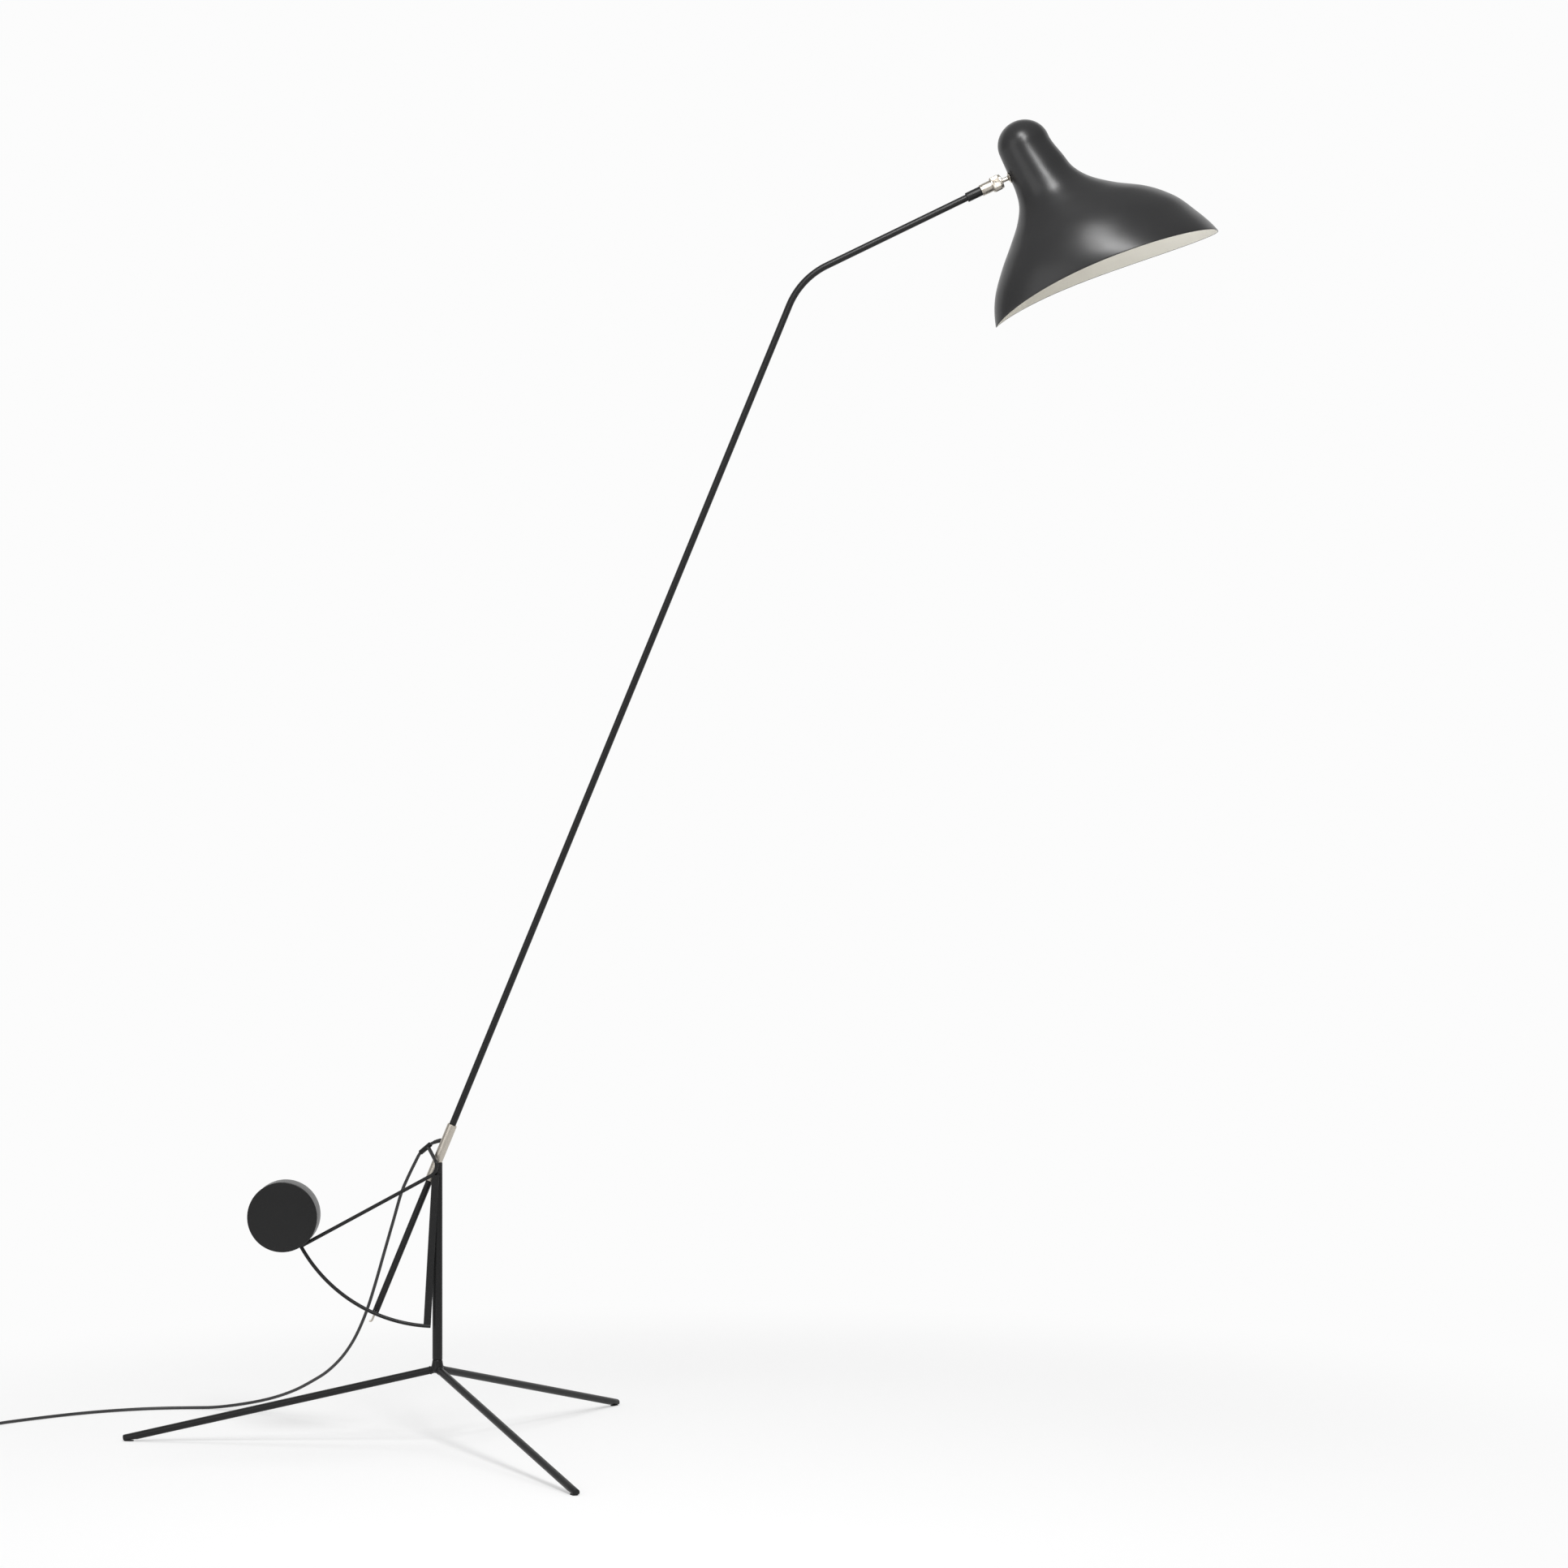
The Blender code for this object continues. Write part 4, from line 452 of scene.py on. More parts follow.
def domed(path: list[Vector], radius: float, edge: float, count: int = 4
          ) -> tuple[list[Vector], list[float]]:
    """Round both ends of a bar by a small edge radius.

    Args:
        path: the bar's centre line, with its ends where the bar ends.
        radius: the bar's radius.
        edge: the edge's radius.
        count: rings in each rounded edge.

    Returns:
        The centre line with the added points, and a radius for each.
    """
    first = (path[1] - path[0]).normalized()
    last = (path[-1] - path[-2]).normalized()
    line = [path[0] + first * edge * (1 - math.cos(math.pi / 2 * step / count))
            for step in range(count)]
    radii = [radius - edge + edge * math.sin(math.pi / 2 * step / count)
             for step in range(count)]
    line.append(path[0] + first * edge)
    radii.append(radius)
    for point in path[1:-1]:
        line.append(point)
        radii.append(radius)
    line.append(path[-1] - last * edge)
    radii.append(radius)
    for step in reversed(range(count)):
        line.append(path[-1] - last * edge * (1 - math.cos(math.pi / 2 * step / count)))
        radii.append(radius - edge + edge * math.sin(math.pi / 2 * step / count))
    return line, radii


def bead(bm: bmesh.types.BMesh, centre: Vector, axis: Vector, radius: float, thickness: float,
         seed: int) -> None:
    """Add a weld bead: a slightly uneven ring round a bar, flush with what it joins."""
    axis = axis.normalized()
    side = axis.orthogonal().normalized()
    up = axis.cross(side)
    around, tube = 40, 10
    rings = []
    for i in range(around):
        turn = math.tau * i / around
        swell = thickness * (1.0 + 0.10 * math.sin(9 * turn + seed) + 0.06 * math.sin(17 * turn))
        out = side * math.cos(turn) + up * math.sin(turn)
        rings.append([bm.verts.new(centre + out * (radius + swell * math.cos(math.tau * k / tube))
                                   + axis * swell * math.sin(math.tau * k / tube))
                      for k in range(tube)])
    for low, high in zip(rings, rings[1:] + rings[:1]):
        join_rings(bm, low, high)


def squared(turn: float, power: float) -> tuple[float, float]:
    """Return a point of a unit circle, squared off by a power under one."""
    across, up = math.cos(turn), math.sin(turn)
    return math.copysign(abs(across) ** power, across), math.copysign(abs(up) ** power, up)


def eased(share: float) -> float:
    """Return a share held between 0 and 1, with a smooth start and end."""
    share = min(1.0, max(0.0, share))
    return share * share * (3.0 - 2.0 * share)


def bezier(p0: Vector, p1: Vector, p2: Vector, p3: Vector, count: int) -> list[Vector]:
    """Return points on a cubic curve, both ends included."""
    points = []
    for step in range(count):
        t = step / (count - 1)
        r = 1.0 - t
        points.append(p0 * r ** 3 + p1 * 3 * t * r * r + p2 * 3 * t * t * r + p3 * t ** 3)
    return points


def smooth_route(route: list[Vector], steps: int = 8) -> list[Vector]:
    """Return a dense centripetal curve through every point of a route."""
    points = [route[0] * 2 - route[1], *route, route[-1] * 2 - route[-2]]
    dense = []
    for p0, p1, p2, p3 in zip(points, points[1:], points[2:], points[3:]):
        t0 = 0.0
        t1 = t0 + math.sqrt((p1 - p0).length)
        t2 = t1 + math.sqrt((p2 - p1).length)
        t3 = t2 + math.sqrt((p3 - p2).length)
        for step in range(steps):
            t = t1 + (t2 - t1) * step / steps
            a1 = p0 * ((t1 - t) / (t1 - t0)) + p1 * ((t - t0) / (t1 - t0))
            a2 = p1 * ((t2 - t) / (t2 - t1)) + p2 * ((t - t1) / (t2 - t1))
            a3 = p2 * ((t3 - t) / (t3 - t2)) + p3 * ((t - t2) / (t3 - t2))
            b1 = a1 * ((t2 - t) / (t2 - t0)) + a2 * ((t - t0) / (t2 - t0))
            b2 = a2 * ((t3 - t) / (t3 - t1)) + a3 * ((t - t1) / (t3 - t1))
            dense.append(b1 * ((t2 - t) / (t2 - t1)) + b2 * ((t - t1) / (t2 - t1)))
    return [*dense, route[-1]]


@dataclass(frozen=True)
class Axis:
    """A line that pieces are turned about: its local Z, leaned from vertical towards +X."""

    origin: Vector
    lean: float = 0.0

    def matrix(self) -> Matrix:
        """Return the axis's place and turn."""
        return Matrix.Translation(self.origin) @ Matrix.Rotation(self.lean, 4, "Y")

    def at(self, x: float, y: float, z: float) -> Vector:
        """Return a point of the axis's own frame in the lamp's frame."""
        return self.matrix() @ Vector((x, y, z))


def linked(name: str, data: bpy.types.ID) -> bpy.types.Object:
    """Return a new object with this data, linked to the scene."""
    made = bpy.data.objects.new(name, data)
    bpy.context.scene.collection.objects.link(made)
    return made


def put(name: str, mesh: bpy.types.Mesh, body: Body, finish: Finish, nodes: Sequence[str],
        place: Matrix = Matrix.Identity(4), lining: Union[Finish, None] = None
        ) -> bpy.types.Object:
    """Put a made piece on its body in place of the nodes it stands for.

    Args:
        name: the piece's name.
        mesh: its mesh, in its own frame.
        body: the body that it rides on.
        finish: its finish.
        nodes: the frame's nodes that it stands for.
        place: its own frame's place.
        lining: a second finish, for faces of material index 1.

    Returns:
        The piece.
    """
    piece = linked(name, mesh)
    piece.matrix_world = place
    mesh.materials.append(finish.material())
    if lining is not None:
        mesh.materials.append(lining.material())
    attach(piece, body.value)
    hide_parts(*nodes)
    log.info("%s rides on %s", name, body.value)
    return piece


def dress(node: str, finish: Finish) -> None:
    """Give a frame node that keeps its own shape a finish."""
    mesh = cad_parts[node].data
    mesh.materials.clear()
    mesh.materials.append(finish.material())
    log.info("%s keeps its shape", node)


# --- shared axes -------------------------------------------------------------------------------


@dataclass
class Layout:
    """Where the lamp's axes are, worked out from the post's node."""

    pivot_offset: float = 1.5 * MM
    pivot_height: float = 360.9 * MM
    arm_lean: float = math.radians(22.35)
    arm_behind: float = 13.15 * MM
    arm_offset: float = 5.2 * MM
    arm_corner: float = 1244.3 * MM
    upper_rise: float = math.radians(25.86)
    upper_length: float = 284.4 * MM
    shade_rise: float = math.radians(23.3)
    neck_side: float = 17.0 * MM
    post: Vector = field(init=False)

    def __post_init__(self) -> None:
        """Find the post's axis."""
        low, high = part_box("post")
        middle = (low + high) / 2
        self.post = Vector((middle.x, middle.y, 0.0))

    @property
    def pivot(self) -> Vector:
        """The tilting frame's pivot."""
        return self.post + Vector((self.pivot_offset, 0.0, self.pivot_height))

    @property
    def upper_turn(self) -> float:
        """The angle of the bend between the long tube and the upper arm."""
        return math.pi / 2 - self.upper_rise - self.arm_lean

    @property
    def arm(self) -> Axis:
        """The long tube's axis, from beside the pivot."""
        beside = Vector((-math.cos(self.arm_lean) * self.arm_offset, self.arm_behind,
                         math.sin(self.arm_lean) * self.arm_offset))
        return Axis(self.pivot + beside, self.arm_lean)

    @property
    def head(self) -> Axis:
        """The upper arm's axis, from the centre of the ball."""
        turn = self.upper_turn
        reach = self.upper_length
        centre = self.arm.at(math.sin(turn) * reach, 0.0, self.arm_corner + math.cos(turn) * reach)
        return Axis(centre, math.pi / 2 - self.upper_rise)

    @property
    def stem(self) -> Axis:
        """The ball's stem, with local X down the shade."""
        return Axis(self.head.origin, math.pi / 2 - self.shade_rise)


# --- supply cord --------------------------------------------------------------------------------


@dataclass
class SupplyCord:
    """The free cord from the sleeve's outlet to its plug, with its coil and tie."""

    layout: Layout
    diameter: float = 4.2 * MM
    floor_rest: float = 2.4
    coil_centre: tuple[float, float] = (-645.9, 156.8)
    coil_columns: tuple[float, ...] = (29.8, 25.6, 21.4, 17.2)
    coil_rows: tuple[float, ...] = (3.5, 7.9, 12.3)
    coil_start: float = -35.0
    coil_step: float = 12.0
    lead_in: tuple[float, float] = (3.4, 40.0)
    lead_in_drop: tuple[float, float] = (1.1, 60.0)
    lead_out: tuple[float, float, float] = (4.9, 75.0, 60.0)
    lead_out_drop: tuple[float, float] = (30.0, 84.0)
    lead_out_end: float = 50.0
    strap_across: tuple[float, float] = (15.1, 31.9)
    strap_height: tuple[float, float] = (0.7, 15.1)
    strap_wall: float = 0.8
    strap_half_width: float = 4.0
    strap_edge: float = 0.25
    plug_length: float = 36.0
    plug_width: float = 30.0
    plug_height: float = 13.6
    pin_spread: float = 18.6
    pin_length: float = 19.0
    pin_radius: float = 2.0
    relief_length: float = 13.5 * MM
    route: tuple[tuple[float, float, float], ...] = (
        (4.8, 4.6, 394.4), (1.8, 6.8, 394.3), (-4.6, 9.1, 392.4), (-11.3, 11.9, 389.0),
        (-18.0, 16.2, 383.3), (-24.8, 21.0, 377.6),
        (-33.0, 30.0, 363.4), (-43.5, 40.0, 342.6), (-51.9, 48.0, 323.8), (-63.9, 61.0, 285.4),
        (-77.2, 75.0, 242.3), (-90.3, 88.0, 199.3), (-100.6, 98.0, 168.2),
        (-110.2, 107.0, 144.2), (-123.0, 121.2, 119.0), (-140.3, 141.3, 94.2),
        (-162.8, 166.9, 71.3), (-185.4, 190.9, 55.1), (-213.5, 218.9, 38.1),
        (-252.6, 254.3, 21.3), (-298.9, 286.2, 8.6), (-333.0, 298.8, 3.2),
        (-364.7, 300.4, 2.4), (-393.6, 297.6, 2.4), (-427.3, 290.2, 2.4), (-473.2, 271.0, 2.4),
        (-511.7, 246.9, 2.4), (-545.1, 219.5, 2.4), (-572.8, 193.4, 2.4), (-598.1, 167.0, 2.4),
        (-610.6, 149.2, 2.4), (-618.7, 137.7, 2.4),
    )

    def datum(self) -> Vector:
        """The point that the cord's millimetres start from: the post's foot, in the arm's plane."""
        return self.layout.post + Vector((0.0, self.layout.arm_behind, 0.0))

    def coil(self) -> list[tuple[float, float, float]]:
        """Return the coil's points: two full layers, and one turn on top that leads out.

        The cord's lead in and lead out are each a swing in millimetres away from the coil, and
        the degrees of turn that it starts before the last turn and lasts.
        """
        low, middle, top = self.coil_rows
        turns = [(radius, low) for radius in self.coil_columns]
        turns += [(radius, middle) for radius in reversed(self.coil_columns)]
        turns += [(self.coil_columns[0], top)] * 2
        last = 360.0 * (len(turns) - 1)
        points = []
        swing_in, swing_in_span = self.lead_in
        drop_in, drop_in_span = self.lead_in_drop
        swing_out, swing_out_early, swing_out_span = self.lead_out
        drop_out_early, drop_out_span = self.lead_out_drop
        degrees = self.coil_step
        while degrees < last + self.lead_out_end:
            number = int(degrees // 360.0)
            share = eased((degrees % 360.0) / 180.0 - 1.0)
            here, after = turns[number], turns[min(number + 1, len(turns) - 1)]
            radius = here[0] + (after[0] - here[0]) * share
            height = here[1] + (after[1] - here[1]) * share
            radius += swing_in * (1.0 - eased(degrees / swing_in_span))
            height -= drop_in * (1.0 - eased(degrees / drop_in_span))
            radius += swing_out * eased((degrees - last + swing_out_early) / swing_out_span)
            down = eased((degrees - last + drop_out_early) / drop_out_span)
            height -= (top - self.floor_rest) * down
            turn = math.radians(self.coil_start - degrees)
            points.append((self.coil_centre[0] + radius * math.cos(turn),
                           self.coil_centre[1] + radius * math.sin(turn), height))
            degrees += self.coil_step
        return points

    def tail(self) -> list[tuple[float, float, float]]:
        """Return the points from the coil to the plug's back."""
        x, y = self.coil_centre[0] - 3.0, self.coil_centre[1] - 34.7
        end_x, end_y, end_z = x - 25.5, y - 26.4, self.plug_height / 2 + 0.2
        return [(x, y, self.floor_rest), (x - 11.0, y - 1.2, 2.4), (x - 19.5, y - 6.5, 3.2),
                (end_x + 1.0, end_y + 11.2, end_z - 1.5), (end_x, end_y, end_z)]

    def centre_line(self) -> list[Vector]:
        """Return the whole cord's dense centre line in the lamp's frame."""
        points = [*self.route, *self.coil(), *self.tail()]
        world = [self.datum() + Vector(point) * MM for point in points]
        return smooth_route(world, 4)

    def build(self) -> None:
        line = self.centre_line()
        length = sum((after - before).length for before, after in zip(line, line[1:]))
        start = self.skip(line, self.relief_length * 0.5)
        bm = bmesh.new()
        swept(bm, start, self.diameter / 2, 14)
        mesh = mesh_of(bm, "supply_cord", 60.0)
        piece = linked("supply_cord", mesh)
        mesh.materials.append(SHEATH.material())
        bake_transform(piece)
        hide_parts("cord_lead", "cord_run", "cord_coil", "cord_tail")
        log.info("supply_cord is %.3f m long", length)
        plug = self.plug()
        pins = [self.pin("left_plug_pin", "plug_pin_left", -1.0),
                self.pin("right_plug_pin", "plug_pin_right", 1.0)]
        tie = self.tie()

    @staticmethod
    def skip(line: list[Vector], distance: float) -> list[Vector]:
        """Return a line without its first stretch."""
        gone = 0.0
        for index, (before, after) in enumerate(zip(line, line[1:])):
            gone += (after - before).length
            if gone >= distance:
                return line[index + 1:]
        return line

    def tie(self) -> bpy.types.Object:
        """Make the rubber strap that holds the coil."""
        wall, width = self.strap_wall, self.strap_half_width
        inner, outer = self.strap_across[0] - wall, self.strap_across[1] + wall
        low, high = self.strap_height
        middle = Vector(((inner + outer) / 2, 0.0, (low + high) / 2))
        half = Vector(((outer - inner) / 2, 0.0, (high - low) / 2))
        bm = bmesh.new()
        rows = []
        for along, edge in ((-width, self.strap_edge), (-3.7, 0.0), (3.7, 0.0),
                            (width, self.strap_edge)):
            outside, inside = [], []
            for k in range(32):
                shape = Vector(squared(math.tau * k / 32, 0.4))
                out = Vector((middle.x + shape.x * (half.x - edge), along,
                              middle.z + shape.y * (half.z - edge)))
                into = Vector((middle.x + shape.x * (half.x - wall + edge), along,
                               middle.z + shape.y * (half.z - wall + edge)))
                outside.append(bm.verts.new(out * MM))
                inside.append(bm.verts.new(into * MM))
            rows.append((outside, inside))
        for (out_a, in_a), (out_b, in_b) in zip(rows, rows[1:]):
            join_rings(bm, out_a, out_b)
            join_rings(bm, in_a, in_b)
        join_rings(bm, rows[0][0], rows[0][1])
        join_rings(bm, rows[-1][0], rows[-1][1])
        centre = self.datum() + Vector((*self.coil_centre, 0.0)) * MM
        place = Matrix.Translation(centre) @ Matrix.Rotation(math.radians(40), 4, "Z")
        return put("coil_strap", mesh_of(bm, "coil_strap"), Body.BASE, RUBBER, ["cord_tie"], place)

    def plug_back(self) -> Vector:
        """Return the middle of the plug's back in the lamp's frame."""
        x, y, z = self.tail()[-1]
        return self.datum() + Vector((x, y - 0.3, z)) * MM

    def plug(self) -> bpy.types.Object:
        """Make the flat two-pin plug's moulded body."""
        length, half, height = self.plug_length, self.plug_width / 2, self.plug_height / 2
        stations = [(0.0, 3.4, 3.5), (0.6, 3.6, 3.7), (9.0, 4.6, 3.9), (14.0, 8.6, 5.2),
                    (17.5, 12.6, 6.4), (20.5, 14.7, height), (28.0, half, height),
                    (34.6, half, height), (35.6, half - 0.5, height - 0.5),
                    (length, half - 1.6, height - 1.6)]
        bm = bmesh.new()
        rings = []
        for along, across, thick in stations:
            shapes = [squared(math.tau * k / 40, 0.55) for k in range(40)]
            rings.append([bm.verts.new(Vector((x * across, -along, z * thick)) * MM)
                          for x, z in shapes])
        loft(bm, rings)
        for groove in (2.4, 4.6, 6.8):
            bead(bm, Vector((0.0, -groove, 0.0)) * MM, Vector((0.0, 1.0, 0.0)), 3.5 * MM,
                 0.55 * MM, 0)
        return put("moulded_plug", mesh_of(bm, "moulded_plug", 50.0), Body.BASE, RUBBER,
                   ["plug_body"], Matrix.Translation(self.plug_back()))

    def pin(self, name: str, node: str, side: float) -> bpy.types.Object:
        """Make one round plug pin with an insulated root's step."""
        radius, length = self.pin_radius, self.pin_length
        profile = filleted([(0.0, 0.0), (radius, 0.0), (radius, 9.0), (radius - 0.12, 9.1),
                            (radius - 0.12, length - 0.8), (radius - 0.8, length), (0.0, length)],
                           0.3)
        mesh = turned(name, [(r * MM, z * MM) for r, z in profile], 32)
        face = self.plug_back() + Vector((side * self.pin_spread / 2, -self.plug_length - 0.3, 0.0)
                                         ) * MM
        return put(name, mesh, Body.BASE, NICKEL, [node],
                   Matrix.Translation(face) @ Matrix.Rotation(math.pi / 2, 4, "X"))

    def relief(self) -> None:
        """Make the ribbed strain relief where the cord leaves the sleeve."""
        line = self.centre_line()
        gone, path = 0.0, [line[0]]
        for before, after in zip(line, line[1:]):
            gone += (after - before).length
            if gone > self.relief_length:
                break
            path.append(after)
        outward = (line[0] - line[2]).normalized()
        path.insert(0, line[0] + outward * 1.6 * MM)
        lengths = [0.0]
        for before, after in zip(path, path[1:]):
            lengths.append(lengths[-1] + (after - before).length)
        dense, radii = [], []
        rows, plain_rows, rib_rows = 60, 12, 10
        root, taper, rib_depth = 2.9, 0.5, 0.16
        for step in range(rows + 1):
            wanted = lengths[-1] * step / rows
            index = max(k for k in range(len(lengths) - 1) if lengths[k] <= wanted)
            share = (wanted - lengths[index]) / (lengths[index + 1] - lengths[index])
            dense.append(path[index].lerp(path[index + 1], min(share, 1.0)))
            rib = rib_depth * math.sin(math.tau * step / rib_rows) if step > plain_rows else 0.0
            radii.append((root - taper * step / rows + rib) * MM)
        bm = bmesh.new()
        swept(bm, dense, radii, 32)
        put("ribbed_relief", mesh_of(bm, "ribbed_relief", 60.0), Body.FRAME, RUBBER,
            ["cord_relief"])


# --- stand --------------------------------------------------------------------------------------


@dataclass
class Stand:
    """The tripod's legs and pads, the hub, the post and its head."""

    layout: Layout
    leg_radius: float = 4.85 * MM
    leg_reach: float = 416.0 * MM
    tip_height: float = 3.2 * MM
    hub_height: float = 100.9 * MM
    post_radius: float = 6.5 * MM
    post_top: float = 353.6 * MM
    pad_thickness: float = 1.2 * MM
    pad_half: tuple[float, float] = (6.5 * MM, 3.8 * MM)
    legs: tuple[tuple[str, float], ...] = (("left", 173.7), ("rear", 58.4), ("front", -61.5))

    def build(self) -> None:
        """Make every piece of the stand."""
        for side, degrees in self.legs:
            self.leg(side, math.radians(degrees))
            self.pad(side, math.radians(degrees))
        self.hub()
        self.post()
        dress("pivot_head", BLACK)

    def heading(self, angle: float) -> Vector:
        """Return the level direction of a leg."""
        return Vector((math.cos(angle), math.sin(angle), 0.0))

    def leg(self, side: str, angle: float) -> None:
        """Make one straight leg bar with a soft end, a level sole and its weld at the hub."""
        out = self.heading(angle)
        tip = out * self.leg_reach + Vector((0.0, 0.0, self.tip_height))
        top = Vector((0.0, 0.0, self.hub_height))
        along = (tip - top).normalized()
        inset, weld = 2.0 * MM, 9.6 * MM
        path = [top + along * inset] + [top.lerp(tip, k / 24) for k in range(1, 25)]
        line, radii = domed(path, self.leg_radius, 1.1 * MM)
        bm = bmesh.new()
        swept(bm, line, radii, 48)
        sole = self.pad_thickness + 0.25 * MM
        for vertex in bm.verts:
            vertex.co.z = max(vertex.co.z, sole)
        bead(bm, top + along * weld, along, self.leg_radius - 0.3 * MM, 1.0 * MM, 3)
        put(f"{side}_leg_bar", mesh_of(bm, f"{side}_leg_bar", 50.0), Body.BASE, BLACK,
            [f"leg_{side}"], Matrix.Translation(self.layout.post))

    def pad(self, side: str, angle: float) -> None:
        """Make one rubber pad with rounded edges under a leg's sole."""
        slope = math.atan2(self.hub_height - self.tip_height, self.leg_reach)
        sole = self.leg_radius / math.cos(slope) - self.tip_height + self.pad_thickness + 0.3 * MM
        middle = self.leg_reach - sole / math.tan(slope) / 2
        length, width = self.pad_half
        bm = bmesh.new()
        rings = []
        edge = 0.35 * MM
        for height, inset in ((0.0, edge), (0.1 * MM, 0.1 * MM), (edge, 0.0),
                              (self.pad_thickness - edge, 0.0), (self.pad_thickness, edge)):
            ring = []
            for k in range(48):
                turn = math.tau * k / 48
                end = math.copysign(length - width, math.cos(turn))
                ring.append(bm.verts.new((end + (width - inset) * math.cos(turn),
                                          (width - inset) * math.sin(turn), height)))
            rings.append(ring)
        loft(bm, rings)
        place = Matrix.Translation(self.layout.post + self.heading(angle) * middle)
        put(f"{side}_sole_pad", mesh_of(bm, f"{side}_sole_pad"), Body.BASE, RUBBER,
            [f"foot_pad_{side}"], place @ Matrix.Rotation(angle, 4, "Z"))

    def hub(self) -> None:
        """Make the weld collar under the post."""
        level, radius = self.hub_height, self.post_radius
        profile = filleted([
            (0.0, level - 5.5 * MM), (radius - 1.5 * MM, level - 5.5 * MM),
            (radius + 1.3 * MM, level - 3.1 * MM), (radius + 2.0 * MM, level + 0.5 * MM),
            (radius + 1.2 * MM, level + 4.0 * MM), (radius + 0.45 * MM, level + 7.5 * MM),
            (radius - 0.1 * MM, level + 12.0 * MM), (0.0, level + 12.0 * MM)], 3.0 * MM, 6)
        put("welded_hub", turned("welded_hub", profile, 72), Body.BASE, BLACK, ["hub"],
            Matrix.Translation(self.layout.post))

    def post(self) -> None:
        """Make the post's tube with softened ends."""
        radius, low, high = self.post_radius, self.hub_height + 12.0 * MM, self.post_top
        edge = 0.35 * MM
        profile = [(radius - 1.9 * MM, low), (radius - edge, low), (radius, low + edge),
                   (radius, high - edge), (radius - 0.1 * MM, high - 0.1 * MM),
                   (radius - edge, high), (radius - 1.9 * MM, high)]
        put("post_tube", turned("post_tube", profile, 72), Body.BASE, BLACK, ["post"],
            Matrix.Translation(self.layout.post))


# --- tilting frame ------------------------------------------------------------------------------


